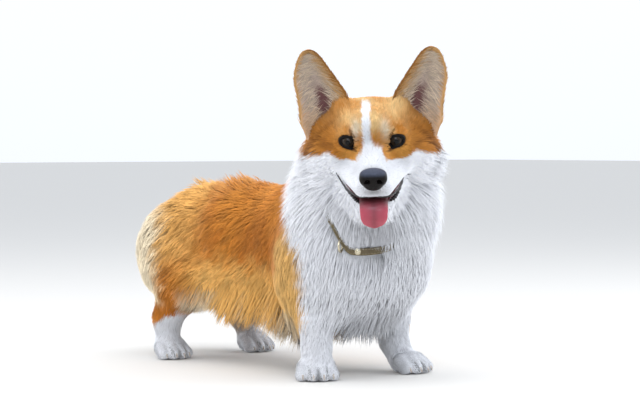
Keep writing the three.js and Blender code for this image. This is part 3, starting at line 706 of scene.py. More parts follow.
def red_coat(p, broad, small, fine):
    """The body's red: deepest on the ribs, golden on shoulder and rump, cream below and behind. Painted
    highlight lightens the top of the back and the rump, painted light lightens the low flank and the rump's
    edge, and painted shade darkens the thigh.
    """
    x, y, z = p[..., 0], p[..., 1], p[..., 2]
    red = mixed(FOX_RED, DEEP_RED, np.clip(0.35 + 0.55 * broad + 0.35 * small, 0, 1))
    saddle = soft_spot(p, [-80.0, -60.0, 215.0], [60.0, 60.0, 42.0])
    red = mixed(red, DEEP_RED * 0.86, 0.8 * saddle)
    # The rump is golden, and it is painted lighter towards its top, as highlight.
    rump_gold_and_highlight = blend_over(y + 14 * small, 60, 150) * blend_over(z, 120, 190)
    red = mixed(red, GOLD * np.array([1.2, 1.23, 1.3]), 0.8 * rump_gold_and_highlight)
    # Painted highlight: the top of the back is lighter and more golden, as lit from above.
    top = blend_over(z + 10 * small, 262, 292) * blend_over(y, -60, 20)
    red = mixed(red, GOLD * np.array([1.04, 1.0, 0.9]), 0.6 * top)
    # The low flank is golden, and it is painted lighter against the shade that falls there.
    low_flank_gold_and_light = blend_over(z + 9 * small, 196, 140) * blend_over(y, -190, -130) * blend_over(y, 130, 70)
    red = mixed(red, GOLD * np.array([1.2, 1.24, 1.26]), 0.95 * low_flank_gold_and_light)
    shoulder = blend_over(np.abs(y + 164) + 6 * small, 50, 22) * blend_over(z, 262, 225)
    red = mixed(red, GOLD * np.array([1.12, 1.26, 1.5]), 0.85 * shoulder)
    underside = blend_over(z + 8 * small + 0.05 * y, 126, 102)
    underside = underside * blend_over(y, -190, -120) * blend_over(y, 128, 100)
    red = mixed(red, CREAM * 0.84, 0.85 * underside)
    thigh_front = blend_over(np.abs(y - 88) + 5 * small, 44, 20) * blend_over(z, 136, 108)
    red = mixed(red, CREAM * 0.95, 0.9 * thigh_front)
    thigh_shade = blend_over(np.abs(y - 165) + 6 * small, 54, 20)
    thigh_shade = thigh_shade * blend_over(z, 200, 140) * blend_over(z, 60, 84)
    red = mixed(red, DEEP_RED * 0.95, 0.68 * thigh_shade)
    rearward = y + 0.5 * np.abs(x) + 8 * small + 5 * fine
    rear_gold = 0.7 * blend_over(rearward, 190, 236) * blend_over(z, 92, 116)
    red = mixed(red, GOLD * np.array([1.08, 1.18, 1.35]), rear_gold)
    # The rump's edge is cream, and it is painted lighter still, as rim light.
    rump_edge_cream_and_rim_light = blend_over(rearward, 198, 244) * blend_over(z, 262, 226) * blend_over(z, 92, 116)
    red = mixed(red, CREAM * np.array([1.10, 1.12, 1.12]), 0.95 * rump_edge_cream_and_rim_light)
    return red * (1 + 0.15 * fine + 0.12 * small)[..., None]


def body_colours(p):
    """The body's red with white on the ruff, the chest and the legs, and shade under the chest."""
    x, y, z = p[..., 0], p[..., 1], p[..., 2]
    broad = ripple(p, 95, 5)
    small = ripple(p, 34, 6)
    fine = ripple(p, 13, 7)
    # The red comes forward to the shoulder on the sides, and along the nape.
    border = -192 + 54 * blend_over(z, 190, 275) + 7 * small + 5 * broad
    behind_neck = y + 140 + 0.70 * (z - 215)
    nape = blend_over(np.abs(x + 12) + 5 * small, 44, 22) * blend_over(z, 258, 288)
    nape = nape * blend_over(behind_neck, 0, 30)
    ruff = blend_over(y, border + 10, border - 10) * (1 - nape)
    sock = z + 4 * small + 2 * fine + np.where(y > 0, 0.4 * (y - 176), 0)
    low_legs = blend_over(sock, np.where(y > 0, 73, 104), np.where(y > 0, 61, 84))
    legs_white = low_legs * np.maximum(blend_over(y, -80, -110), blend_over(y, 80, 110))
    red = red_coat(p, broad, small, fine)
    body = mixed(red, WHITE, np.clip(np.maximum(ruff, legs_white), 0, 1))
    # The left hind leg is brown behind its white front edge, and it is greyed and darkened as painted shadow.
    brown_and_shadowed_leg = blend_over(x, 30, 60) * blend_over(y + 0.45 * z, 192, 206)
    brown_and_shadowed_leg = brown_and_shadowed_leg * blend_over(z, 26, 44) * blend_over(z, 120, 90)
    body = mixed(body, BROWN_IN_SHADOW, 0.8 * brown_and_shadowed_leg)
    under_chin = soft_spot(to_head(p), [0.0, -5.0, -112.0], [60.0, 60.0, 40.0])
    under_keel = blend_over(z, 150, 105) * blend_over(y, -90, -130) * blend_over(np.abs(x), 62, 40)
    return body * (1 - CHIN_SHADE * under_chin)[..., None] * (1 - KEEL_SHADE * under_keel)[..., None]


def face_colours(h):
    """The head's own rules: a golden red that is painted lighter on the top of the head as highlight, pale
    brow spots, white, and painted shade in the folds, by the eyes' inner corners and on the muzzle's top.
    """
    speck = ripple(h, 7, 11)
    # The golden red is painted lighter towards the top of the head, as highlight.
    head_top_highlight = blend_over(h[..., 2] + 3 * speck, 2, 22)
    gold_red_with_highlight = mixed(GOLD * np.array([0.98, 0.86, 0.62]), GOLD * np.array([1.10, 1.38, 2.2]), head_top_highlight)
    face_red = mixed(FOX_RED * 0.86, gold_red_with_highlight, np.clip(0.62 + 0.4 * ripple(h, 32, 8) + 0.15 * speck, 0, 1))
    temples = blend_over(np.abs(h[..., 0]) + 3 * speck, 40, 56) * blend_over(h[..., 2], 44, 26)
    face_red = mixed(face_red, FOX_RED * 0.68, 0.8 * temples)
    face_red = mixed(face_red, DEEP_RED * 0.36, 0.85 * painted_fold_shade(h))
    face_red = mixed(face_red, CREAM * np.array([1.0, 1.08, 1.2]), 0.95 * brow_spots(h))
    # The top of the muzzle is painted darker, as shade.
    muzzle_top = blend_over(h[..., 1], 0, -34) * blend_over(h[..., 2], -38, -24)
    face = mixed(face_red, WHITE, face_white(h)) * (1 - MUZZLE_SHADE * muzzle_top)[..., None]
    face = mixed(face, DEEP_RED * 0.16, 0.85 * eye_corner_shadows(h))
    # The hair just under the nose is grey.
    under_nose = soft_spot(h, [0.0, -72.0, -51.0], [14.0, 16.0, 7.0])
    return mixed(face, UNDER_NOSE_GREY, 0.8 * under_nose)


def markings(p):
    """The coat's colour at points of the dog's frame."""
    whole = mixed(body_colours(p), face_colours(to_head(p)), head_share(p))
    return whole * (1 - CLEFT_SHADE * toe_clefts(p))[..., None]


# %% [markdown]
# ## Finishes that several materials share
# Hair, skin and leather all vary a little from place to place, and all have a fine grain that catches the
# light. Each of those effects is a shader node group, built once, with named inputs for its strength and
# size.

# %% Shader node groups
def new_group(name, inputs, outputs):
    group = bpy.data.node_groups.new(name, "ShaderNodeTree")
    for socket_name, socket_type, default in inputs:
        socket = group.interface.new_socket(socket_name, in_out="INPUT", socket_type=socket_type)
        if default is not None:
            socket.default_value = default
    for socket_name, socket_type in outputs:
        group.interface.new_socket(socket_name, in_out="OUTPUT", socket_type=socket_type)
    return group, group.nodes.new("NodeGroupInput"), group.nodes.new("NodeGroupOutput")


def add_node(tree, kind, settings=None, **values):
    node = tree.nodes.new(kind)
    for key, value in (settings or {}).items():
        setattr(node, key, value)
    for key, value in values.items():
        node.inputs[key.replace("_", " ")].default_value = value
    return node


def math_node(tree, operation, a, b):
    node = add_node(tree, "ShaderNodeMath", {"operation": operation})
    for socket, value in zip(node.inputs, (a, b)):
        if isinstance(value, (int, float)):
            socket.default_value = value
        else:
            tree.links.new(value, socket)
    return node.outputs[0]


def scale_colour(group, given, gain, out):
    """The group's colour leaves it lighter or darker by gain."""
    tint = add_node(group, "ShaderNodeVectorMath", {"operation": "SCALE"})
    group.links.new(given.outputs["Color"], tint.inputs[0])
    group.links.new(gain, tint.inputs["Scale"])
    group.links.new(tint.outputs[0], out.inputs["Color"])


def build_mottle():
    """Colour that drifts lighter and darker over the surface."""
    group, given, out = new_group(
        "Mottle",
        [
            ("Color", "NodeSocketColor", (1, 1, 1, 1)),
            ("Size", "NodeSocketFloat", 60.0),
            ("Strength", "NodeSocketFloat", 0.2),
        ],
        [("Color", "NodeSocketColor")],
    )
    coordinates = add_node(group, "ShaderNodeTexCoord")
    noise = add_node(group, "ShaderNodeTexNoise", Detail=3.0)
    group.links.new(coordinates.outputs["Object"], noise.inputs["Vector"])
    group.links.new(given.outputs["Size"], noise.inputs["Scale"])
    centred = math_node(group, "SUBTRACT", noise.outputs["Fac"], 0.5)
    scaled = math_node(group, "MULTIPLY", centred, given.outputs["Strength"])
    gain = math_node(group, "ADD", math_node(group, "MULTIPLY", scaled, 2.0), 1.0)
    scale_colour(group, given, gain, out)
    return group


def build_strand_shade():
    """Hair is painted darker near its root, as shade among the tufts, and each tuft has a tone of its own."""
    group, given, out = new_group(
        "Strand shade",
        [
            ("Color", "NodeSocketColor", (1, 1, 1, 1)),
            ("Along", "NodeSocketFloat", 0.5),
            ("Tone", "NodeSocketFloat", 0.5),
            ("Root", "NodeSocketFloat", 0.6),
            ("Spread", "NodeSocketFloat", 0.2),
        ],
        [("Color", "NodeSocketColor")],
    )
    curve = math_node(group, "POWER", given.outputs["Along"], 0.6)
    rise = math_node(group, "SUBTRACT", 1.0, given.outputs["Root"])
    shade = math_node(group, "ADD", math_node(group, "MULTIPLY", curve, rise), given.outputs["Root"])
    tone = math_node(group, "SUBTRACT", given.outputs["Tone"], 0.5)
    spread = math_node(group, "ADD", math_node(group, "MULTIPLY", tone, given.outputs["Spread"]), 1.0)
    gain = math_node(group, "MULTIPLY", shade, spread)
    scale_colour(group, given, gain, out)
    return group


def build_pebbles():
    """The small raised cells of nose leather, lids, lips and strap, as a normal."""
    group, given, out = new_group(
        "Pebbles",
        [("Size", "NodeSocketFloat", 900.0), ("Height", "NodeSocketFloat", 0.0004)],
        [("Normal", "NodeSocketVector")],
    )
    coordinates = add_node(group, "ShaderNodeTexCoord")
    cells = add_node(group, "ShaderNodeTexVoronoi", {"feature": "SMOOTH_F1"})
    group.links.new(coordinates.outputs["Object"], cells.inputs["Vector"])
    group.links.new(given.outputs["Size"], cells.inputs["Scale"])
    bump = add_node(group, "ShaderNodeBump", {"invert": True})
    group.links.new(cells.outputs["Distance"], bump.inputs["Height"])
    group.links.new(given.outputs["Height"], bump.inputs["Distance"])
    group.links.new(bump.outputs["Normal"], out.inputs["Normal"])
    return group


MOTTLE = build_mottle()
STRAND_SHADE = build_strand_shade()
PEBBLES = build_pebbles()
print("shader groups:", [group.name for group in (MOTTLE, STRAND_SHADE, PEBBLES)])


# %% [markdown]
# ## Materials
# Every material is a Principled shader. Values that are the same all over sit on the shader itself, and
# only what changes over the surface comes from nodes.

# %% Material helpers
def new_material(name, **values):
    material = bpy.data.materials.new(name)
    material.use_nodes = True
    shader = material.node_tree.nodes["Principled BSDF"]
    for key, value in values.items():
        shader.inputs[key.replace("_", " ")].default_value = value
    return material, material.node_tree, shader


def place_group(tree, group, **values):
    node = add_node(tree, "ShaderNodeGroup", {"node_tree": group})
    for key, value in values.items():
        node.inputs[key].default_value = value
    return node


def attribute(tree, name):
    node = add_node(tree, "ShaderNodeAttribute")
    node.attribute_name = name
    return node


# %% Coat and skin
def coat_material():
    material, tree, shader = new_material(
        "coat", Roughness=0.72, Specular_IOR_Level=0.18, Sheen_Weight=0.10, Sheen_Roughness=0.5
    )
    shade = place_group(tree, STRAND_SHADE, Root=0.82, Spread=0.40)
    tree.links.new(attribute(tree, "Marking").outputs["Color"], shade.inputs["Color"])
    tree.links.new(attribute(tree, "Along").outputs["Fac"], shade.inputs["Along"])
    tree.links.new(attribute(tree, "Tone").outputs["Fac"], shade.inputs["Tone"])
    mottle = place_group(tree, MOTTLE, Size=45.0, Strength=0.12)
    tree.links.new(shade.outputs["Color"], mottle.inputs["Color"])
    tree.links.new(mottle.outputs["Color"], shader.inputs["Base Color"])
    return material


def skin_material():
    material, tree, shader = new_material("skin", Roughness=0.8, Specular_IOR_Level=0.2)
    mottle = place_group(tree, MOTTLE, Size=60.0, Strength=0.15)
    tree.links.new(attribute(tree, "Marking").outputs["Color"], mottle.inputs["Color"])
    tree.links.new(mottle.outputs["Color"], shader.inputs["Base Color"])
    grain = add_node(tree, "ShaderNodeTexNoise", Scale=900.0, Detail=2.0)
    bump = add_node(tree, "ShaderNodeBump", Strength=0.6, Distance=0.001)
    tree.links.new(grain.outputs["Fac"], bump.inputs["Height"])
    tree.links.new(bump.outputs["Normal"], shader.inputs["Normal"])
    return material


COAT = coat_material()
SKIN = skin_material()
skin.data.materials.append(SKIN)


def colour_points(piece, colours):
    layer = piece.data.color_attributes.new("Marking", "FLOAT_COLOR", "POINT")
    rgba = np.concatenate([colours, np.ones((len(colours), 1))], axis=1)
    layer.data.foreach_set("color", rgba.astype(np.float32).ravel())


SKIN_SHADE = 0.8


def skin_colours(p):
    colours = markings(p) * SKIN_SHADE
    h = to_head(p)
    inside = blend_over(mouth_room(h, 0.0), 3.5, 1.0) * head_share(p)
    colours = mixed(colours, MOUTH_PINK, inside)
    for side in (1, -1):
        dark = blend_over(almond_share(h, side, LID_EDGE), 1.16, 1.04) * blend_over(h[..., 1], 14, 6)
        colours = mixed(colours, BLACK_SKIN, dark)
    return colours


colour_points(skin, skin_colours(skin_points))
print("skin coloured,", elapsed())

# %% [markdown]
# ## Where the hair grows
# Roots are drawn on the skin's own faces. A face gets its share of roots by its area and by how dense the
# coat is there. Drawing them in the order of the faces, one after the other, spreads them far more evenly
# than free random draws would.

# %% Scatter roots over a skin
def scatter(points, quads, density, draw):
    corners = points[quads]
    across = corners[:, 2] - corners[:, 0]
    other = corners[:, 3] - corners[:, 1]
    areas = length_of(np.cross(across, other)) / 2
    total = np.cumsum(areas * density)
    count = int(total[-1])
    picks = (np.arange(count) + draw.random(count)) / count * total[-1]
    faces = np.minimum(np.searchsorted(total, picks), len(quads) - 1)
    u, v = draw.random((2, count, 1))
    blend = [(1 - u) * (1 - v), u * (1 - v), u * v, (1 - u) * v]
    roots = sum(weight * corners[faces, k] for k, weight in enumerate(blend))
    return roots, faces, blend


def slope_of(field, p, share, probe=0.8):
    here = field(p, share)
    offsets = np.eye(3) * probe
    rises = [(field(p + offset, share) - here) / probe for offset in offsets]
    return here, unit(np.stack(rises, -1))


# %% [markdown]
# ## How the hair lies
# A corgi's hair runs from the nose back over the skull, away from the eyes, out and down in the ruff,
# straight down the chest, back and down along the flanks, and down the legs. The ruff, the chest, the
# belly's fringe and the breeches are long, and the face, legs and feet are short.

# %% Coat values at a root
THROAT = from_head(np.array([0.0, 34.0, -14.0]))
DOWN = np.array([0.0, 0.0, -1.0])


def towards(a, b, amount):
    """Directions that turn from a to b."""
    return unit(a + (b - a) * np.asarray(amount)[..., None])


def head_lie(h):
    side = np.clip(h[..., 0] / 12.0, -1, 1)
    x, y, z = np.abs(h[..., 0]), h[..., 1], h[..., 2]
    one = np.ones_like(x)
    low = unit(np.stack([0.45 * side * blend_over(x, 0, 24), one, -0.5 * one], -1))
    top = unit(np.stack([0.10 * side, one, 0.3 * one], -1))
    lie = towards(low, top, blend_over(z + 0.4 * y, -18, 4))
    cheek = unit(np.stack([1.0 * side, 0.35 * one, -0.55 * one], -1))
    lie = towards(lie, cheek, blend_over(x, 30, 50) * blend_over(z, 12, -14))
    rising = unit(np.stack([0.35 * side, 0.25 * one, 1.0 * one], -1))
    lie = towards(lie, rising, blend_over(x, 20, 36) * blend_over(z, 8, 26))
    chin = unit(np.stack([0.2 * side, 0.5 * one, -one], -1))
    lie = towards(lie, chin, blend_over(z, -62, -76))
    for eye_side in (1, -1):
        away = h - eye_centre(eye_side) - np.array([0.0, 8.0, 0.0])
        lie = towards(lie, unit(away), 0.6 * blend_over(length_of(away), 30, 17))
    return lie


def body_lie(p):
    x, y, z = p[..., 0], p[..., 1], p[..., 2]
    side = np.clip(x / 30.0, -1, 1)
    one = np.ones_like(x)
    flank = unit(np.stack([0.0 * one, one, -1.15 * one], -1))
    top = unit(np.stack([0.12 * side, one, -0.15 * one], -1))
    lie = towards(flank, top, blend_over(z, 225, 275))
    rear = unit(np.stack([0.1 * side, 0.35 * one, -one], -1))
    lie = towards(lie, rear, blend_over(y, 120, 215))
    chest = unit(np.stack([0.22 * side, 0.12 * one, -one], -1))
    lie = towards(lie, chest, blend_over(y, -60, -135) * blend_over(z, 300, 250))
    away = unit(p - THROAT) + 0.35 * DOWN
    lie = towards(lie, unit(away), blend_over(y, -90, -150) * blend_over(length_of(p - THROAT), 150, 80))
    return lie


# Each kind of hair has its length and width in millimetres, the layers of tufts that cover the skin, how far
# its tips stand out of the coat as a share of its depth, how much its tips gather, and how closely it follows
# the surface.
HAIR = {
    "flank": (30, 1.05, 6.5, 0.02, 0.35, 1.0),
    "back": (26, 1.05, 6.5, 0.06, 0.4, 0.95),
    "rump": (34, 1.10, 7.5, 0.10, 0.45, 0.9),
    "breeches": (42, 1.10, 9.0, 0.20, 0.6, 0.7),
    "fringe": (70, 1.10, 16.0, 0.05, 0.5, 0.1),
    "ruff": (46, 0.95, 17.0, 0.42, 0.25, 0.50),
    "chest": (42, 0.95, 16.0, 0.06, 0.15, 0.9),
    "low chest": (26, 1.05, 10.0, 0.02, 0.5, 0.95),
    "leg": (11, 0.95, 4.0, 0.0, 0.2, 1.0),
    "keel": (54, 1.10, 10.0, 0.1, 0.7, 0.0),
    "tousled": (46, 1.05, 9.0, 1.6, 1.0, 0.0),
    "feather": (20, 1.00, 6.0, 0.1, 0.5, 0.8),
    "foot": (5.5, 0.90, 2.4, 0.0, 0.0, 1.0),
    "muzzle": (4.0, 0.80, 3.2, 0.0, 0.0, 1.0),
    "face": (7.0, 0.85, 4.2, 0.0, 0.1, 1.0),
    "skull": (11, 0.90, 4.8, 0.05, 0.2, 1.0),
    "knee": (21, 1.05, 7.0, 0.05, 0.4, 0.9),
    "front fringe": (80, 1.10, 16.0, 0.05, 0.5, 0.1),
    "fold fringe": (42, 1.10, 12.0, 0.05, 0.5, 0.2),
    "whisk": (36, 0.95, 12.0, 0.6, 0.4, 0.3),
    "crown": (19, 0.95, 7.0, 0.5, 0.4, 0.35),
    "cheek": (33, 0.95, 11.0, 0.45, 0.4, 0.5),
}
HAIR_VALUES = ["length", "width", "layers", "lift", "clump", "hold"]


def coat_values(p, normal):
    """What hair grows at each root, and which way it lies."""
    h = to_head(p)
    x, y, z = p[..., 0], p[..., 1], p[..., 2]
    head_x, head_y, head_z = np.abs(h[..., 0]), h[..., 1], h[..., 2]
    on_head = head_share(p)
    near_mass = mass(p, 0.0)
    near_legs = legs(p, 0.0)
    near_feet = feet(p, 0.0)
    on_leg = blend_over(near_mass - near_legs, -2, 12)
    on_foot = blend_over(np.minimum(near_mass, near_legs) - near_feet, -1, 5)
    below = blend_over(normal[..., 2], 0.2, -0.4)
    front = blend_over(y, -75, -130)
    fringe = below * blend_over(z, 155, 122) * blend_over(y, 172, 150) * (1 - 0.6 * front)
    keel = blend_over(np.abs(x), 46, 30) * blend_over(normal[..., 2], 0.1, -0.5) * blend_over(z, 125, 112)
    keel = keel * front * (1 - blend_over(near_mass - near_legs, -16, -4))
    tousled = blend_over(z, 252, 270) * blend_over(np.abs(y - 118), 92, 55)
    tousled = tousled * blend_over(ripple(p, 40, 12), -0.6, 0.0)
    cheek = blend_over(head_x, 42, 58) * blend_over(head_z, 2, -18) * blend_over(head_y, 4, 34)
    whisk = blend_over(head_x, 54, 64) * blend_over(head_z, -24, -36) * blend_over(head_y, 22, 38)
    crown = blend_over(head_x, 22, 34) * blend_over(head_z, 22, 34) * blend_over(head_y, 62, 48)
    kinds = [
        ("back", blend_over(z, 225, 262)),
        ("rump", blend_over(y, 140, 205)),
        ("breeches", blend_over(y, 190, 240) * blend_over(z, 190, 150)),
        ("chest", front),
        ("low chest", front * blend_over(z, 175, 135)),
        ("ruff", front * blend_over(z, 190, 235)),
        ("fringe", fringe),
        ("fold fringe", fringe * blend_over(y, 30, 80)),
        ("front fringe", fringe * blend_over(y, 20, -70)),
        ("knee", blend_over(y, 105, 140) * blend_over(z, 150, 118)),
        ("keel", keel),
        ("tousled", tousled),
        ("leg", on_leg),
        ("feather", on_leg * blend_over(normal[..., 1], 0.3, 0.95)),
        ("foot", on_foot),
        ("muzzle", on_head),
        ("face", on_head * blend_over(head_y, -40, 0)),
        ("skull", on_head * blend_over(head_y, 16, 50)),
        ("crown", on_head * crown),
        ("cheek", on_head * np.maximum(cheek, blend_over(head_z, -62, -84))),
        ("whisk", on_head * whisk),
    ]
    hair = np.broadcast_to(np.array(HAIR["flank"], float), (len(p), len(HAIR_VALUES)))
    for kind, amount in kinds:
        hair = mixed(hair, np.array(HAIR[kind], float), amount)
    values = {name: hair[:, k] for k, name in enumerate(HAIR_VALUES)}

    lie = body_lie(p)
    hanging = unit(np.stack([np.clip(x / 80, -0.2, 0.2), np.full_like(x, 0.3), -np.ones_like(x)], -1))
    lie = towards(lie, hanging, np.maximum(np.maximum(fringe, keel), on_leg))
    ruffled = unit(np.stack([0.1 + 0 * x, 0.75 + 0 * x, 0.62 + 0 * x], -1))
    lie = towards(lie, ruffled, 0.8 * tousled)
    for foot in FEET.values():
        ahead = from_foot(foot, (0, -1.0, -0.55)) - from_foot(foot, (0, 0, 0))
        near = blend_over(length_of(p - from_foot(foot, (0, -5, 15))), 60, 45)
        lie = towards(lie, unit(ahead), near * on_foot)
    lie = towards(lie, head_lie(h) @ HEAD_AXES.T, on_head)
    outward = np.stack([np.sign(h[..., 0]), -0.15 + 0 * x, -0.25 + 0 * x], -1)
    lie = towards(lie, unit(outward) @ HEAD_AXES.T, 0.85 * on_head * whisk)
    values.update(lie=lie, on_head=on_head, on_leg=on_leg, on_foot=on_foot)
    return values


# %% [markdown]
# ## Bare places
# No hair grows on the eyes, lips, nose leather or inside the mouth. The lips run along two curves on each
# side, from the corner of the mouth to its front, and the nose leather is an ellipsoid on the tip of the
# muzzle.

# %% Lip curves and nose, in the head's frame
UPPER_LIP = {
    1: [(43.5, -3, -44), (40.5, -20, -53), (35, -41, -59), (22, -62, -62), (6, -69, -60.5)],
    -1: [(-54, -2, -42), (-42, -26, -55), (-33, -47, -59), (-20, -62, -62), (-6, -69, -60.5)],
}
LOWER_LIP = {
    1: [(44, -2, -46), (41.5, -15, -57), (35, -33, -65.5), (29, -44, -70.5), (22, -50, -74)],
    -1: [(-52, 0, -46), (-39, -24, -62), (-31, -38, -67), (-24, -46, -72), (-18, -50, -76)],
}
LIPS = [(UPPER_LIP, 1.8), (LOWER_LIP, 3.2)]
NOSE_CENTRE = np.array([0.0, -78.0, -30.0])
NOSE_RADII = np.array([18.5, 10.0, 14.5])
MOUTH_MARGIN = 2.0
BARE_MARGIN = 0.6


def bare(p):
    """True where no hair grows."""
    h = to_head(p)
    away = np.full(len(p), 99.0)
    for side in (1, -1):
        away = np.where((almond_share(h, side, LID_EDGE) < 0.99) & (h[..., 1] < 10), 0.0, away)
        for lip, thickness in LIPS:
            for spot in spline(lip[side], np.linspace(0, 1, 24)):
                away = np.minimum(away, length_of(h - spot) - thickness)
    away = np.minimum(away, ball(NOSE_CENTRE, NOSE_RADII + 0.8)(h, 0.0))
    away = np.minimum(away, mouth_room(h, 0.0) - MOUTH_MARGIN)
    return away < BARE_MARGIN


# %% [markdown]
# ## Growing a tuft
# A tuft is a thin, tapered, three-sided blade, closed at its root and pointed at its tip. Particle hair
# would be the usual tool, but only real mesh leaves Blender with the model. Each tuft starts a little
# under the skin and climbs from one level of the coat to the next while it follows the lie, so tufts
# overlap like shingles.

# %% Grow the centre lines of tufts
TUFT_LEVELS = [0.0, 0.62, 0.93, 1.0]
ROOT_SINK = 1.2
STRAY = 0.16
WAVE = 0.16
LONGEST_STEP = 0.55
# Light falls on a tuft as if it faced no further down than this, or the belly and the elbows would look dark.
LOWEST_FACING = -0.35


def grow(roots, values, tip_share, draw):
    _, root_normal = slope_of(coat_field, roots, UNDERCOAT)
    spots = [roots - root_normal * ROOT_SINK]
    facing = [root_normal]
    spot = roots
    stray = unit(draw.normal(size=roots.shape)) * STRAY
    wave = np.stack([ripple(roots, 46, 20 + k) for k in range(3)], -1) * WAVE
    lie = unit(values["lie"] + stray + wave * values["clump"][:, None])
    for level in TUFT_LEVELS[1:]:
        share = UNDERCOAT + (tip_share - UNDERCOAT) * level
        _, normal = slope_of(coat_field, spot, share)
        along = unit(lie - np.einsum("ni,ni->n", lie, normal)[:, None] * normal * values["hold"][:, None])
        ahead = spot + along * (values["length"] / (len(TUFT_LEVELS) - 1))[:, None]
        gap, slope = slope_of(coat_field, ahead, share)
        limit = values["length"] * LONGEST_STEP
        step = np.clip(gap, -limit, limit) * values["hold"]
        spot = ahead - slope * step[:, None]
        spots.append(spot)
        facing.append(towards(root_normal, slope, values["hold"]))
    facing = np.stack(facing, 1)
    facing[..., 2] = np.maximum(facing[..., 2], LOWEST_FACING)
    return np.stack(spots, 1), unit(facing)


GATHER_PULL = np.array([0.0, 0.06, 0.28, 0.5])


def gather(spots, values, every, draw):
    """Tips lean towards the nearest leading tuft, as wet or brushed hair does."""
    leaders = np.arange(0, len(spots), every)
    tree = kdtree.KDTree(len(leaders))
    for k, place in enumerate(spots[leaders, 2]):
        tree.insert(place, k)
    tree.balance()
    nearest = leaders[[tree.find(place)[1] for place in spots[:, 2]]]
    strength = values["clump"] * draw.uniform(0.5, 1.1, len(spots))
    away = spots[nearest] - spots
    strength = np.where(length_of(away[:, 2]) > values["length"] * 0.6, 0.0, strength)
    return spots + away * GATHER_PULL[None, :, None] * strength[:, None, None], nearest


def press_under_collar(spots, overlap):
    """Hair from above ends on the strap's upper edge, and hair from below starts under its lower edge."""
    _, up, shown = collar_place(spots)
    drop = np.maximum(up[:, 0] - up[:, -1], 1e-3)
    kept = np.clip((up[:, 0] - COLLAR_HALF_WIDTH + overlap) / drop, 0.2, 1.0)
    kept = np.where(up[:, 0] > COLLAR_HALF_WIDTH, 1 - (1 - kept) * shown[:, 0], 1.0)
    stations = np.arange(spots.shape[1])
    place = stations[None, :] * kept[:, None]
    low = np.minimum(place.astype(int), spots.shape[1] - 2)
    rows = np.arange(len(spots))[:, None]
    spots = mixed(spots[rows, low], spots[rows, low + 1], place - low)
    radius, up, shown = collar_place(spots)
    free = np.abs(up) - COLLAR_HALF_WIDTH + np.where(up > -COLLAR_HALF_WIDTH / 2, overlap[:, None], 0.0)
    reach = COLLAR_RADIUS + np.where(free > 0, COLLAR_THICKNESS + 0.8 + GROOVE_SLOPE * free, -2.0)
    pressed = np.minimum(radius, reach)
    scale = 1 + (pressed / radius - 1) * shown
    across = COLLAR_CENTRE + (spots[..., :2] - COLLAR_CENTRE) * scale[..., None]
    return np.concatenate([across, spots[..., 2:]], -1)


def strap_cover(p):
    """How far the hair from above hangs over the strap: more towards the dog's left."""
    away = p[:, :2] - COLLAR_CENTRE
    turn = np.arctan2(away[:, 1], away[:, 0]) - COLLAR_FRONT
    return 3.0 + 2.5 * blend_over(turn, 0.15, 0.55)


def under_strap(p):
    """True where a root would lie under the part of the strap that shows."""
    _, up, shown = collar_place(p)
    return (np.abs(up) < COLLAR_HALF_WIDTH + 1.5) & (shown > 0.6)


# %% Turn centre lines into a mesh
TUFT_PATCH = 0.003
SECTION = np.array([[-0.5, -0.12], [0.5, -0.12], [0.0, 0.26]])
OUTLINE = {4: [0.7, 1.0, 0.72], 3: [0.85, 0.9]}


def tuft_mesh(name, spots, facing, widths, colours, tones, uvs, softness, material):
    count, stations, _ = spots.shape
    tangents = unit(np.gradient(spots, axis=1))
    sides = unit(np.cross(tangents, facing))
    outs = np.cross(sides, tangents)
    sections = stations - 1
    outline = np.array(OUTLINE[stations])
    size = widths[:, None, None] * outline[None, :, None]
    rings, ring_normals = [], []
    for across, up in SECTION:
        corner = sides[:, :-1] * across + outs[:, :-1] * up
        rings.append(spots[:, :-1] + corner * size)
        ring_normals.append(unit(corner) * (1 - softness) + facing[:, :-1] * softness)
    vertices = np.stack(rings, 2).reshape(count, sections * 3, 3)
    vertices = np.concatenate([vertices, spots[:, -1:]], 1)
    normals = np.stack(ring_normals, 2).reshape(count, sections * 3, 3)
    normals = unit(np.concatenate([normals, facing[:, -1:]], 1))
    per_tuft = sections * 3 + 1
    first = np.arange(count)[:, None, None] * per_tuft
    quads = []
    for s in range(sections - 1):
        for k in range(3):
            a, b = s * 3 + k, s * 3 + (k + 1) % 3
            quads.append([a, a + 3, b + 3, b])
    last = (sections - 1) * 3
    tris = [[0, 1, 2]] + [[last + (k + 1) % 3, last + k, last + 3] for k in range(3)]
    quads = (np.array(quads)[None] + first).reshape(-1, 4)
    tris = (np.array(tris)[None] + first).reshape(-1, 3)
    piece = mesh_object(name, vertices.reshape(-1, 3), quads, tris, material=material)
    mesh = piece.data
    colour_points(piece, np.repeat(colours, per_tuft, 0))
    along = np.concatenate([np.repeat(np.arange(sections), 3), [sections]]) / sections
    for layer_name, data in (("Along", np.tile(along, count)), ("Tone", np.repeat(tones, per_tuft))):
        layer = mesh.attributes.new(layer_name, "FLOAT", "POINT")
        layer.data.foreach_set("value", data.astype(np.float32))
    offsets = np.stack([np.concatenate([np.tile(SECTION[:, 0], sections), [0.0]]), along - 0.5], -1)
    point_uvs = (uvs[:, None] + offsets[None] * TUFT_PATCH).reshape(-1, 2)
    corners = np.empty(len(mesh.loops), np.int32)
    mesh.loops.foreach_get("vertex_index", corners)
    layer = mesh.uv_layers.new(name=BAKE_MAP)
    layer.uv.foreach_set("vector", point_uvs[corners].astype(np.float32).ravel())
    mesh.normals_split_custom_set_from_vertices(normals.reshape(-1, 3).astype(np.float32))
    return piece


# %% Grow the coat
SEED = 286
DENSITY = 0.77
PIECE_LIMIT = 190_000
draw = np.random.default_rng(SEED)

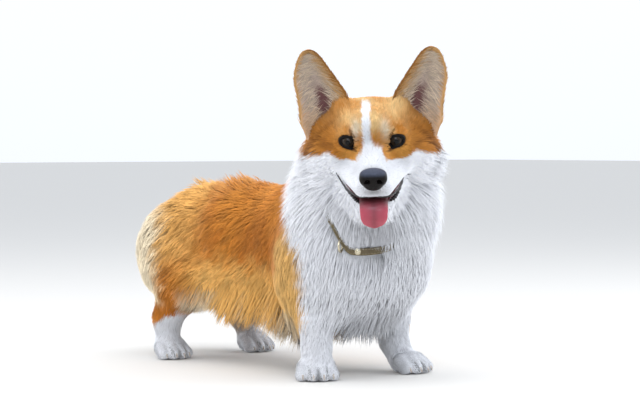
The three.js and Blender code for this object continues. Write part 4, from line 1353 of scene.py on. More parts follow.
face_middles = skin_points[skin_quads].mean(1)
_, face_normals = slope_of(coat_field, face_middles, UNDERCOAT)
face_values = coat_values(face_middles, face_normals)
density = DENSITY * face_values["layers"] / (face_values["length"] * face_values["width"])
density = np.where(bare(face_middles) | under_strap(face_middles), 0.0, density)
density = np.where(face_middles[:, 2] < 3.0, 0.0, density)
roots, root_faces, corner_blend = scatter(skin_points, skin_quads, density, draw)
root_uvs = sum(weight * skin_uvs[root_faces, k] for k, weight in enumerate(corner_blend))
print("roots:", len(roots), elapsed())

# %% Comb the coat
root_values = coat_values(roots, face_normals[root_faces])
root_values["length"] = root_values["length"] * draw.uniform(0.8, 1.15, len(roots))
tip_share = draw.uniform(0.68, 1.0, len(roots)) + root_values["lift"] * draw.random(len(roots))
spots, facing = grow(roots, root_values, tip_share, draw)
spots, leaders = gather(spots, root_values, 9, draw)
spots = press_under_collar(spots, strap_cover(roots) + draw.normal(0, 1.0, len(roots)))
spots[..., 2] = np.maximum(spots[..., 2], 1.0)
root_colours = markings(roots + face_normals[root_faces] * 3)
tones = draw.normal(0.5, 0.16, len(roots))
tones = np.clip(0.45 * tones + 0.55 * draw.normal(0.5, 0.24, len(roots))[leaders], 0, 1)
pale = blend_over(root_colours[:, 2], 0.3, 0.8)
# White hair varies less in tone than red hair, and is lighter. High up, on the ruff, it is painted lighter
# still, as light.
contrast = 1.25 - 0.95 * pale
lighter = pale * (0.10 + 0.24 * blend_over(roots[:, 2], 190, 240))
tones = 0.5 + (tones - 0.5) * contrast + lighter
print("combed,", elapsed())


# %% Part the coat into pieces
def coat_part(p, values):
    part = np.full(len(p), "flank_coat", dtype=object)
    part[p[:, 2] > 232] = "back_coat"
    part[p[:, 1] > 118] = "rump_coat"
    part[(p[:, 2] < 135) & (p[:, 1] <= 118)] = "belly_coat"
    part[p[:, 1] < -112] = "chest_coat"
    part[(p[:, 1] < -112) & (p[:, 2] > 210)] = "ruff_coat"
    part[values["on_leg"] > 0.5] = "leg_coat"
    part[values["on_foot"] > 0.5] = "foot_coat"
    part[values["on_head"] > 0.5] = "head_coat"
    return part


COAT_SLOTS = dict.fromkeys(["flank_coat", "back_coat", "rump_coat", "head_coat"], "red_coat")
# Tufts bend in two places only where the hair is longer than this, and only on the head and the ruff. The
# others have one bend, which keeps the model light.
SHORT_HAIR = 13.0
BENT_PARTS = ["head_coat", "ruff_coat"]
# The tufts are drawn a little wider than their hair, so that fewer of them cover the skin.
THICKENING = 1.12
SOFTNESS = {"ruff_coat": 0.9, "chest_coat": 0.9}
USUAL_SOFTNESS = 0.75
parts = coat_part(roots, root_values)
one_bend = (root_values["length"] < SHORT_HAIR) | ~np.isin(parts, BENT_PARTS)
coat_pieces = []
coat_triangles = 0
for part in sorted(set(parts)):
    for is_short in (False, True):
        members = np.flatnonzero((parts == part) & (one_bend == is_short))
        if not len(members):
            continue
        stations = [0, 2, 3] if is_short else [0, 1, 2, 3]
        triangles = 10 if is_short else 16
        piece_count = math.ceil(len(members) * triangles / PIECE_LIMIT)
        for number, chunk in enumerate(np.array_split(members, piece_count)):
            name = f"{part}_{'short' if is_short else 'long'}_{number + 1}"
            piece = tuft_mesh(
                name,
                spots[chunk][:, stations],
                facing[chunk][:, stations],
                root_values["width"][chunk] * THICKENING,
                root_colours[chunk],
                tones[chunk],
                root_uvs[chunk],
                SOFTNESS.get(part, USUAL_SOFTNESS),
                COAT,
            )
            COAT_SLOTS.get(part, "white_coat")
            coat_pieces.append(piece)
            coat_triangles += len(chunk) * triangles
            print(name, len(chunk), "tufts")
print("coat:", coat_triangles, "triangles in", len(coat_pieces), "pieces,", elapsed())

# %% [markdown]
# ## Shapes made of rings
# Ears, lids, lips, tongue, claws and collar are all rows of rings that are joined side by side. One
# function builds such a mesh and closes its ends, so every piece is one solid shell.

# %% Ring meshes
def ring_faces(rows, across, wrap_rows=False):
    """Quads between rows of rings that are closed around."""
    row, column = np.meshgrid(np.arange(rows if wrap_rows else rows - 1), np.arange(across), indexing="ij")
    next_row = (row + 1) % rows
    next_column = (column + 1) % across
    corners = [row * across + column, row * across + next_column]
    corners += [next_row * across + next_column, next_row * across + column]
    return np.stack([corner.ravel() for corner in corners], -1)


def ring_mesh(name, rings, material, wrap_rows=False, flip=False):
    """A mesh from rings of shape (rows, around, 3), with its end rings drawn to their middles."""
    rows, across, _ = rings.shape
    points = rings.reshape(-1, 3)
    quads = ring_faces(rows, across, wrap_rows)
    faces = [quads[:, ::-1] if flip else quads]
    if not wrap_rows:
        points = np.concatenate([points, rings[:1].mean(1), rings[-1:].mean(1)])
        around = np.arange(across)
        following = (around + 1) % across
        start = np.stack([np.full(across, rows * across), following, around], -1)
        last = (rows - 1) * across
        end = np.stack([np.full(across, rows * across + 1), last + around, last + following], -1)
        caps = np.concatenate([start, end])
        faces.append(caps[:, ::-1] if flip else caps)
    return mesh_object(name, points, *faces, material=material)


UPWARDS = np.array([0.0, 0.0, 1.0])


def tube(path, radii, around=16, flat=1.0):
    """Rings round a path. flat squeezes the height of the section."""
    along = unit(np.gradient(path, axis=0))
    side = unit(np.cross(along, UPWARDS))
    out = np.cross(side, along)
    angle = np.linspace(0, 2 * math.pi, around, endpoint=False)
    radii = np.broadcast_to(radii, (len(path),))[:, None, None]
    across = np.cos(angle)[None, :, None] * side[:, None]
    section = across + flat * np.sin(angle)[None, :, None] * out[:, None]
    return path[:, None] + section * radii


def joined(name, shells, material):
    """Several closed shells as one piece."""
    meshes = [shell.data for shell in shells]
    merged = bmesh.new()
    for mesh in meshes:
        merged.from_mesh(mesh)
    piece_mesh = bpy.data.meshes.new(name)
    merged.to_mesh(piece_mesh)
    merged.free()
    for shell, mesh in zip(shells, meshes):
        bpy.data.objects.remove(shell)
        bpy.data.meshes.remove(mesh)
    piece = bpy.data.objects.new(name, piece_mesh)
    bpy.context.scene.collection.objects.link(piece)
    piece_mesh.materials.append(material)
    return piece


# %% [markdown]
# ## Eyes and lids
# The eyes are dark brown and wet, with a black pupil that looks straight at the viewer. The lids are
# black, thick and smooth. They cover the ball's rim and run to a low inner corner.

# %% Eyes
def eye_material():
    material, tree, shader = new_material("eye", Roughness=0.05, IOR=1.38, Specular_IOR_Level=0.3)
    tree.links.new(attribute(tree, "Marking").outputs["Color"], shader.inputs["Base Color"])
    return material


def lid_material():
    material, tree, shader = new_material("lid", Roughness=0.4, Specular_IOR_Level=0.12)
    shader.inputs["Base Color"].default_value = (0.005, 0.004, 0.004, 1)
    pebbles = place_group(tree, PEBBLES, Size=1800.0, Height=0.00012)
    tree.links.new(pebbles.outputs["Normal"], shader.inputs["Normal"])
    return material


EYE = eye_material()
LID = lid_material()
IRIS_BROWN = np.array([0.040, 0.028, 0.019])
IRIS_EDGE = np.array([0.005, 0.003, 0.003])
EYE_WHITE = np.array([0.035, 0.024, 0.020])
PUPIL_BLACK = np.full(3, 0.002)
PUPIL_RADIUS = 3.7
IRIS_RADIUS = 8.2
CORNEA_RISE = 0.9
GAZE = np.array([0.0, -1.0, 0.02])
EYE_SPLAY = 0.05


def eyeball(name, side):
    rows, around = 64, 96
    polar = np.linspace(0, math.pi, rows + 2)[1:-1]
    angle = np.linspace(0, 2 * math.pi, around, endpoint=False)
    gaze = unit(GAZE + np.array([EYE_SPLAY * side, 0, 0]))
    right = unit(np.cross(gaze, [0, 0, 1]))
    up = np.cross(right, gaze)
    off_axis = EYE_RADIUS * np.sin(polar)
    bulge = CORNEA_RISE * blend_over(off_axis, IRIS_RADIUS + 1, 2) * (polar < math.pi / 2)
    radial = np.cos(angle)[None, :, None] * right + np.sin(angle)[None, :, None] * up
    rings = eye_centre(side) + (EYE_RADIUS * np.cos(polar) + bulge)[:, None, None] * gaze
    rings = rings + off_axis[:, None, None] * radial
    piece = ring_mesh(name, from_head(rings), EYE)
    spots = np.concatenate([rings.reshape(-1, 3), rings[:1].mean(1), rings[-1:].mean(1)])
    out = spots - eye_centre(side)
    distance = length_of(out - (out @ gaze)[:, None] * gaze)
    behind = out @ gaze < 0
    spokes = np.arctan2(out @ up, out @ right)
    streak = 0.75 + 0.25 * np.sin(spokes * 37) * np.sin(spokes * 13 + 1.0)
    colours = IRIS_BROWN * (streak * (0.8 + 0.5 * blend_over(distance, 3.5, 7.5)))[:, None]
    colours = mixed(colours, IRIS_EDGE, blend_over(distance, IRIS_RADIUS - 1.4, IRIS_RADIUS - 0.2))
    outside_iris = np.maximum(blend_over(distance, IRIS_RADIUS, IRIS_RADIUS + 0.7), behind)
    colours = mixed(colours, EYE_WHITE, outside_iris)
    pupil = blend_over(distance, PUPIL_RADIUS + 0.3, PUPIL_RADIUS - 0.3) * ~behind
    colours = mixed(colours, PUPIL_BLACK, pupil)
    colour_points(piece, colours)
    return piece


# Each row of a lid has its place between the opening and the edge of the dark skin, as a share, and a height.
LID_ROWS = [(-0.12, -1.6), (0.0, 0.15), (0.06, 0.9), (0.22, 1.5), (0.5, 1.7), (0.8, 1.5)]
LID_TUCK = [(1.0, 0.3), (1.12, 1.6), (1.12, 3.4), (0.5, 4.5), (0.1, 4.0)]


def front_of_face(x, z):
    """How far forward the uncarved face lies at places seen from the front, by halving steps."""
    near = np.full(np.shape(x), -40.0)
    far = np.full(np.shape(x), 30.0)
    for _ in range(18):
        middle = (near + far) / 2
        outside = head_field(from_head(np.stack([x, middle, z], -1)), UNDERCOAT) > 0
        near = np.where(outside, middle, near)
        far = np.where(outside, far, middle)
    return near


def lids(name, side):
    """A band from the opening to the edge of the dark skin, closed behind."""
    angle = np.linspace(0, 2 * math.pi, 96, endpoint=False)
    opening = almond_radius(LID_OPENING, angle)
    edge = almond_radius(LID_EDGE, angle)
    centre = eye_centre(side)
    rings = []
    for share, height in LID_ROWS + LID_TUCK:
        radius = opening + (edge - opening) * share
        x = np.cos(angle) * radius
        z = np.sin(angle) * radius
        face = front_of_face(centre[0] + x * side, centre[2] + z)
        if share < 0.9 and (share, height) in LID_ROWS:
            ball_radius = EYE_RADIUS + height
            on_ball = centre[1] - np.sqrt(np.maximum(ball_radius**2 - radius**2, 4.0))
            y = on_ball + (face - on_ball) * blend_over(share, 0.35, 1.0)
        else:
            y = face + height
        rings.append(np.stack([centre[0] + x * side, y, centre[2] + z], -1))
    return ring_mesh(name, from_head(np.array(rings)), LID, wrap_rows=True, flip=side < 0)


# %% [markdown]
# ## Nose
# The nose leather is black, broad and finely cobbled, with open nostrils that curl outwards and a groove
# down the middle.

# %% Nose
def nose_material():
    material, tree, shader = new_material("nose_leather", Roughness=0.32, Specular_IOR_Level=0.16)
    pebbles = place_group(tree, PEBBLES, Size=1100.0, Height=0.00035)
    tree.links.new(pebbles.outputs["Normal"], shader.inputs["Normal"])
    mottle = place_group(tree, MOTTLE, Size=300.0, Strength=0.3)
    tree.links.new(attribute(tree, "Marking").outputs["Color"], mottle.inputs["Color"])
    tree.links.new(mottle.outputs["Color"], shader.inputs["Base Color"])
    return material


NOSE_LEATHER = nose_material()
NOSE_BLACK = np.array([0.0045, 0.0032, 0.0030])
NOSE_SKY_SHEEN = np.array([0.055, 0.064, 0.098])
nose_body = melt(
    5,
    ball((0, -76, -24.5), (18.4, 11.5, 8.4)),
    ball((0, -77, -31), (17.2, 10.8, 9.0)),
    ball((0, -76, -37), (15.2, 10.3, 8.8)),
    ball((0, -75, -42), (10.8, 9.4, 5.8)),
    *pair(lambda side: ball((11.6 * side, -80, -30.5), (7.0, 7.2, 7.6))),
)
nose_holes = melt(
    0.6,
    *pair(lambda side: ball((8.2 * side, -88, -32.0), (3.6, 6.5, 3.3))),
    *pair(lambda side: bar((9.5 * side, -87, -33.0), (17.0 * side, -81, -35.5), 1.7, 1.0)),
)
nose_groove = bar((0, -91, -33), (0, -84, -47), 1.1, 1.1)


def nose_field(h):
    solid = smooth_max(nose_body(h, 0.0), -nose_holes(h, 0.0), 1.2)
    return smooth_max(solid, -nose_groove(h, 0.0), 1.2)


def nose():
    points, quads = mesh_field(nose_field, np.array([-24.0, -98, -56]), np.array([24.0, -58, -8]), 0.6)
    piece = mesh_object("nose_leather", from_head(points), quads, material=NOSE_LEATHER)
    # The top of the nose is painted with a bluish sheen, a reflection of the sky.
    top = blend_over(points[:, 2], -27, -20)
    colour_points(piece, mixed(np.broadcast_to(NOSE_BLACK, points.shape), NOSE_SKY_SHEEN, top))
    return piece


# %% [markdown]
# ## Lips, tongue and mouth
# A corgi that smiles shows a black, notched lower lip from the corner of the mouth to the tongue, and a
# thin dark edge of upper lip. The tongue hangs over the lower front teeth, with a groove down its middle
# and its edges turned up.

# %% Mouth
def wet_material(name, roughness, coat, size, height):
    material, tree, shader = new_material(
        name, Roughness=roughness, Coat_Weight=coat, Specular_IOR_Level=0.5
    )
    shader.inputs["Coat Roughness"].default_value = 0.12
    tree.links.new(attribute(tree, "Marking").outputs["Color"], shader.inputs["Base Color"])
    pebbles = place_group(tree, PEBBLES, Size=size, Height=height)
    tree.links.new(pebbles.outputs["Normal"], shader.inputs["Normal"])
    return material


TONGUE = wet_material("tongue", 0.45, 0.15, 1500.0, 0.0003)
TONGUE_PATH = np.array([[0, -16, -66], [0, -46, -68], [0, -66, -75], [0, -73, -90], [0, -67, -107]], float)
TONGUE_WIDTH = 42.0
TONGUE_THICKNESS = 6.0
TONGUE_PINK = np.array([0.36, 0.040, 0.072])
TONGUE_TIP = np.array([0.44, 0.060, 0.092])
TONGUE_SHADE_IN_MOUTH = np.array([0.09, 0.020, 0.024])


def tongue():
    rows, around = 70, 56
    t = np.linspace(0, 1, rows)
    path = spline(TONGUE_PATH, t)
    angle = np.linspace(0, 2 * math.pi, around, endpoint=False)
    side = np.broadcast_to(np.array([1.0, 0.0, 0.0]), path.shape)
    out = np.cross(unit(np.gradient(path, axis=0)), side) * -1
    round_tip = np.clip(1 - np.clip((t - 0.68) / 0.32, 0, 1) ** 3.2, 0.0, 1) ** 0.42
    half = TONGUE_WIDTH / 2 * (0.93 - 0.05 * blend_over(t, 0.5, 0.8)) * round_tip + 0.2
    thick = TONGUE_THICKNESS / 2 * (1.15 - 0.45 * t) * (0.35 + 0.65 * round_tip)
    s = np.cos(angle)[None]
    edge = np.sign(np.sin(angle)) * np.abs(np.sin(angle)) ** 0.75
    groove = -1.5 * np.exp(-((s * half[:, None] / 2.6) ** 2)) * (np.sin(angle) > 0)[None]
    curl = 3.2 * np.abs(s) ** 2.4 * (0.5 + 0.5 * blend_over(t, 0.1, 0.6))[:, None]
    ruffle = 0.5 * np.sin(t * 31)[:, None] * np.abs(s) ** 4
    fading = (round_tip * blend_over(t, 1.0, 0.85))[:, None]
    lift = edge[None] * thick[:, None] + groove * fading + curl + ruffle
    rings = path[:, None] + side[:, None] * (s * half[:, None])[..., None] + out[:, None] * lift[..., None]
    piece = ring_mesh("tongue", from_head(rings), TONGUE)
    # Inside the mouth the tongue is painted dark, as shade.
    shade = mixed(np.broadcast_to(TONGUE_SHADE_IN_MOUTH, (rows, 3)), TONGUE_PINK, blend_over(t, 0.34, 0.62))
    shade = mixed(shade, TONGUE_TIP, blend_over(t, 0.7, 1.0))
    # The tongue is painted darker along its middle groove, as shade, and lighter towards its edges.
    darker = (1 - 0.32 * np.exp(-((s * half[:, None] / 4.5) ** 2))) * (1 + 0.3 * np.abs(s) ** 3)
    colours = (shade[:, None] * darker[..., None]).reshape(-1, 3)
    colour_points(piece, np.concatenate([colours, shade[:1], shade[-1:]]))
    return piece


LIP = wet_material("lip", 0.4, 0.3, 1300.0, 0.0003)
LIP_BLACK = np.array([0.014, 0.011, 0.012])
# The radius at the corner of the mouth and in front, and how deep the notches are.
LIP_GROWTH = {"upper": (1.2, 1.6), "lower": (1.2, 4.0)}
LIP_NOTCH = {"upper": 0.15, "lower": 0.5}


def lip(name, which, curve):
    """A dark roll along the mouth's edge. The lower one is notched and widens towards the front."""
    t = np.linspace(0, 1, 160)
    path = spline(curve, t)
    start, end = LIP_GROWTH[which]
    growth = start + (end - start) * blend_over(t, 0.1, 0.85)
    notches = 1 - LIP_NOTCH[which] * (0.5 + 0.5 * np.sin(t * 58 + 1.5 * np.sin(t * 9)))
    taper = np.sqrt(np.clip(np.minimum(t * 9, (1 - t) * 7), 0.02, 1))
    shell = ring_mesh(name, from_head(tube(path, growth * notches * taper, 14, flat=0.7)), LIP)
    colour_points(shell, np.tile(LIP_BLACK, (len(shell.data.vertices), 1)))
    return shell


# %% [markdown]
# ## Claws
# Each toe ends in a small, curved, horn-coloured claw.

# %% Claws
def claw_material():
    material, tree, shader = new_material("claw", Roughness=0.35, Coat_Weight=0.15, Subsurface_Weight=0.08)
    mottle = place_group(tree, MOTTLE, Size=260.0, Strength=0.35)
    mottle.inputs["Color"].default_value = (0.50, 0.43, 0.39, 1)
    tree.links.new(mottle.outputs["Color"], shader.inputs["Base Color"])
    return material


CLAW = claw_material()
CLAW_PATH = np.array([[0, 3, 2.0], [0, -5.5, 2.0], [0, -9.5, -0.5], [0, -12, -5.5]], float)


def claws(foot_name):
    foot = FEET[foot_name]
    shells = []
    for number, tip in enumerate(toe_tips(foot)):
        t = np.linspace(0, 1, 18)
        path = from_foot(foot, tip + spline(CLAW_PATH, t))
        radii = 2.0 * (1 - t**2.2) + 0.4
        shells.append(ring_mesh(f"claw_{number}", tube(path, radii, 14), CLAW))
    return joined(f"claws_{foot_name}", shells, CLAW)


# %% [markdown]
# ## Collar
# The collar is a strap of worn olive leather, stitched along both edges, with a ring that hangs from it
# and a round stud.

# %% Collar
# Where the ruff covers the collar, the strap sits closer to the neck.
COLLAR_HIDDEN = 26.0
HIDDEN_MIDDLE = -0.12
HIDDEN_TURNS = (0.75, 1.3)


def collar_point(turn, out, up):
    heading = COLLAR_FRONT + turn
    hidden = blend_over(np.abs(turn - HIDDEN_MIDDLE), *HIDDEN_TURNS)
    radius = COLLAR_RADIUS + out - COLLAR_HIDDEN * hidden
    x = COLLAR_CENTRE[0] + np.cos(heading) * radius
    y = COLLAR_CENTRE[1] + np.sin(heading) * radius
    return np.stack(np.broadcast_arrays(x, y, COLLAR_LOW + collar_rise(turn) + up), -1)


def leather_material():
    material, tree, shader = new_material("collar_leather", Roughness=0.55, Specular_IOR_Level=0.4)
    mottle = place_group(tree, MOTTLE, Size=160.0, Strength=0.45)
    mottle.inputs["Color"].default_value = (0.115, 0.088, 0.042, 1)
    tree.links.new(mottle.outputs["Color"], shader.inputs["Base Color"])
    pebbles = place_group(tree, PEBBLES, Size=1000.0, Height=0.0003)
    tree.links.new(pebbles.outputs["Normal"], shader.inputs["Normal"])
    return material


def thread_material():
    material, _, shader = new_material("collar_thread", Roughness=0.8)
    shader.inputs["Base Color"].default_value = (0.30, 0.25, 0.15, 1)
    return material


def metal_material():
    material, tree, shader = new_material("collar_metal", Metallic=1.0)
    shader.inputs["Base Color"].default_value = (0.62, 0.55, 0.40, 1)
    scratches = add_node(tree, "ShaderNodeTexNoise", Scale=700.0, Detail=4.0)
    coordinates = add_node(tree, "ShaderNodeTexCoord")
    tree.links.new(coordinates.outputs["Object"], scratches.inputs["Vector"])
    wear = math_node(tree, "ADD", math_node(tree, "MULTIPLY", scratches.outputs["Fac"], 0.25), 0.15)
    tree.links.new(wear, shader.inputs["Roughness"])
    return material


LEATHER = leather_material()
THREAD = thread_material()
METAL = metal_material()


def strap():
    turns = np.linspace(-math.pi, math.pi, 220, endpoint=False)
    angle = np.linspace(0, 2 * math.pi, 20, endpoint=False)
    half, thick = COLLAR_HALF_WIDTH, COLLAR_THICKNESS / 2
    out = thick + thick * np.sign(np.sin(angle)) * np.abs(np.sin(angle)) ** 0.5
    up = half * np.sign(np.cos(angle)) * np.abs(np.cos(angle)) ** 0.35
    rings = collar_point(turns[:, None], out[None], up[None])
    return ring_mesh("collar_strap", rings, LEATHER, wrap_rows=True)


STITCH_STEP = 4.2
STITCH_LENGTH = 2.8
STITCH_RADIUS = 0.42
STITCH_INSET = 2.2
STITCH_LIFT = np.array([-0.5, 0.0, 0.15, 0.15, 0.0, -0.5])
STITCHED = (math.radians(-42), math.radians(30))


def stitches():
    step = STITCH_STEP / COLLAR_RADIUS
    shells = []
    for up in (COLLAR_HALF_WIDTH - STITCH_INSET, STITCH_INSET - COLLAR_HALF_WIDTH):
        for turn in np.arange(*STITCHED, step):
            along = turn + np.linspace(-0.5, 0.5, 6) * STITCH_LENGTH / COLLAR_RADIUS
            path = collar_point(along, COLLAR_THICKNESS + STITCH_LIFT, up)
            shells.append(ring_mesh("stitch", tube(path, STITCH_RADIUS, 8), THREAD))
    return joined("collar_stitches", shells, THREAD)


RING_TURN = math.radians(-19)
RING_RADIUS = 8.5
RING_WIRE = 1.6
RING_OUT = 4.0
RING_UP = 1
STUD_TURN = math.radians(-4)


def collar_axes(turn):
    heading = COLLAR_FRONT + turn
    out = np.array([math.cos(heading), math.sin(heading), 0])
    return out, np.array([-out[1], out[0], 0]), np.array([0, 0, 1.0])


def ring_round(centre, a, b, radius, wire, rows=72, around=18):
    angle = np.linspace(0, 2 * math.pi, rows, endpoint=False)[:, None, None]
    small = np.linspace(0, 2 * math.pi, around, endpoint=False)[None, :, None]
    spoke = np.cos(angle) * a + np.sin(angle) * b
    return centre + spoke * (radius + wire * np.cos(small)) + np.cross(a, b) * wire * np.sin(small)


def collar_ring():
    out, _, up = collar_axes(RING_TURN)
    centre = collar_point(RING_TURN, COLLAR_THICKNESS + RING_WIRE + RING_OUT, -COLLAR_HALF_WIDTH + RING_UP)
    rings = ring_round(centre, out, up, RING_RADIUS, RING_WIRE)
    return ring_mesh("collar_ring_link", rings, METAL, wrap_rows=True)


# The stud's outline from its foot to its top: radius and height.
STUD_PROFILE = np.array(
    [[0.3, -0.6], [4.5, -0.6], [4.6, 0.2], [4.3, 0.9], [3.4, 1.2], [3.0, 1.9], [1.8, 2.7], [0.3, 3.0]]
)


def collar_stud():
    out, side, up = collar_axes(STUD_TURN)
    base = collar_point(STUD_TURN, COLLAR_THICKNESS, 0.0)
    profile = spline(np.pad(STUD_PROFILE, ((0, 0), (0, 1))), np.linspace(0, 1, 40))[:, :2]
    angle = np.linspace(0, 2 * math.pi, 40, endpoint=False)[None, :, None]
    spoke = np.cos(angle) * side + np.sin(angle) * up
    rings = base + out * profile[:, 1, None, None] + spoke * profile[:, 0, None, None]
    return ring_mesh("collar_stud_head", rings, METAL)


# %% Make the features
SIDES = {1: "left", -1: "right"}
for side, side_name in SIDES.items():
    eye = eyeball(f"eyeball_{side_name}", side)
    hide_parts(f"eye_{side_name}")
    lid = lids(f"lids_{side_name}", side)
    for which, curves in (("upper", UPPER_LIP), ("lower", LOWER_LIP)):
        piece = lip(f"{which}_lip_{side_name}", which, curves[side])

nose_piece = nose()
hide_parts("nose")
tongue_piece = tongue()
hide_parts("tongue")
for foot_name in FEET:
    claws(foot_name)

strap_piece = strap()
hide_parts("collar")
stitches()
link = collar_ring()
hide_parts("collar_ring")
stud = collar_stud()
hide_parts("collar_stud")
print("features made,", elapsed())

# %% [markdown]
# ## Ears
# A corgi's ears are large, upright, firm and cupped, with round tips. Each is a curved shell with short
# red hair outside that points at the tip. Inside, long pale hair crosses over from both edges, and the
# bare skin shows at the base.

# %% Ear shape
# Height over the eyes, distance of the middle from the head's centre, half the width, and how far back it is.
EAR_STATIONS = np.array(
    [
        [-8, 64, 28, 40],
        [14, 65, 34, 42],
        [36, 66, 34.5, 45],
        [56, 69.5, 34, 49],
        [75, 76.5, 30, 49],
        [88, 80, 25.8, 47],
        [99.5, 82.5, 20.8, 45],
        [109.0, 84, 16.4, 44],
        [116.6, 85, 11.8, 43],
        [121.4, 85.6, 7.4, 42.5],
        [123.4, 85.8, 4.4, 42.5],
        [124.2, 85.9, 1.5, 42.5],
    ],
    float,
)
EAR_THICKNESS = 3.6
EAR_CUP = 20.0
EAR_RED = FOX_RED * 0.95
EAR_GOLD = GOLD * np.array([1.0, 0.85, 0.85])
EAR_GREY = np.array([0.60, 0.48, 0.41])
EAR_CREAM = np.array([0.82, 0.68, 0.52])
EAR_MAUVE = np.array([0.19, 0.085, 0.085])
EAR_TAN = np.array([0.60, 0.34, 0.13])
EAR_DARK = np.array([0.36, 0.16, 0.04])
EAR_RIM = EAR_TAN * 1.1
EAR_FOOT = (EAR_GOLD + EAR_CREAM) / 2


def ear_point(side, t, s, lift):
    """A point of the ear's sheet: t runs up to the tip, and s across from the inner to the outer edge."""
    height, middle, half, back = np.moveaxis(spline(EAR_STATIONS, t), -1, 0)
    over = np.maximum(t - 1.0, 0) * 110
    cup = EAR_CUP * (1 - 0.55 * t) * np.minimum(half / 24, 1) * np.maximum(1 - s * s, -0.5)
    fold = 5.0 * np.exp(-(((s + 0.62) / 0.22) ** 2)) * blend_over(t, 0.75, 0.35)
    x = (middle + s * half) * side
    return np.stack(np.broadcast_arrays(x, back + cup - fold + lift - EAR_CUP * 0.4, height + over), -1)


def ear_colours(t, s, inside):
    """Red outside with a dark inner and a tan outer rim; grey inside, mauve in the hollow, golden below."""
    height = spline(EAR_STATIONS, t)[..., 0]
    foot = blend_over(height + 7 * np.sin(s * 5.0), 38, 6)
    colours = mixed(np.broadcast_to(EAR_RED, (*np.shape(t), 3)), EAR_DARK, blend_over(s, -0.86, -0.98))
    colours = mixed(colours, EAR_RIM, blend_over(s, 0.84, 0.97))
    colours = mixed(colours, EAR_RIM, inside * blend_over(s, -0.97, -0.88))
    pale = inside * blend_over(s, -0.9, -0.45) * blend_over(s, 1.0, 0.86) * blend_over(height, 118, 84)
    colours = mixed(colours, EAR_GREY, pale)
    colours = mixed(colours, EAR_FOOT, 0.8 * foot * inside)
    hollow = inside * blend_over(height, 72, 52) * blend_over(height, 12, 30)
    hollow = hollow * blend_over(np.abs(s + 0.18), 0.78, 0.36)
    return mixed(colours, EAR_MAUVE, hollow)


def ear_shell(name, side):
    rows, around = 90, 72
    t = 1 - (1 - np.linspace(0, 1, rows)) ** 1.5
    angle = np.linspace(0, 2 * math.pi, around, endpoint=False)
    t, angle = np.meshgrid(t, angle, indexing="ij")
    s = np.cos(angle)
    lift = EAR_THICKNESS / 2 * np.sign(np.sin(angle)) * np.abs(np.sin(angle)) ** 0.6
    rings = ear_point(side, t, s, lift)
    piece = ring_mesh(name, from_head(rings), SKIN, flip=side > 0)
    colours = ear_colours(t, s, lift < 0)
    ends = np.stack([colours[0].mean(0), colours[-1].mean(0)])
    colour_points(piece, np.concatenate([colours.reshape(-1, 3), ends]))
    return piece


# %% Ear hair
# Each kind has its number of tufts on one ear, its length and width in millimetres, how far its tips stand off
# the sheet, and on which of the sheet's two sides it grows.
EAR_HAIR = {
    "outside": {"count": 2600, "length": 9.0, "width": 1.3, "rise": 2.2, "inside": False},
    "inside": {"count": 2600, "length": 9.0, "width": 1.05, "rise": 2.4, "inside": True},
    "tassel": {"count": 950, "length": 19.0, "width": 0.85, "rise": 6.0, "inside": True},
    "rim": {"count": 1300, "length": 7.0, "width": 0.95, "rise": 1.0, "inside": False},
}
EAR_UP = 128.0
EAR_SOFTNESS = 0.6
EAR_PATCH_EDGE = 0.05
EAR_PATCH_SPAN = np.array([0.4, 0.9])


def ear_roots_of(kind, draw):
    count = int(EAR_HAIR[kind]["count"] * (1.0))
    t = draw.uniform(0.03, 0.985, count)
    s = draw.uniform(-0.98, 0.98, count)
    if kind == "tassel":
        t = draw.uniform(0.06, 0.72, count) ** 1.15
        from_inner = draw.random(count) < 0.68
        s = np.where(from_inner, draw.uniform(-0.96, -0.55, count), draw.uniform(0.6, 0.96, count))
    if kind == "rim":
        s = np.sign(s) * draw.uniform(0.96, 1.0, count)
        t = draw.uniform(0.03, 1.0, count) ** 0.8
    return t, s


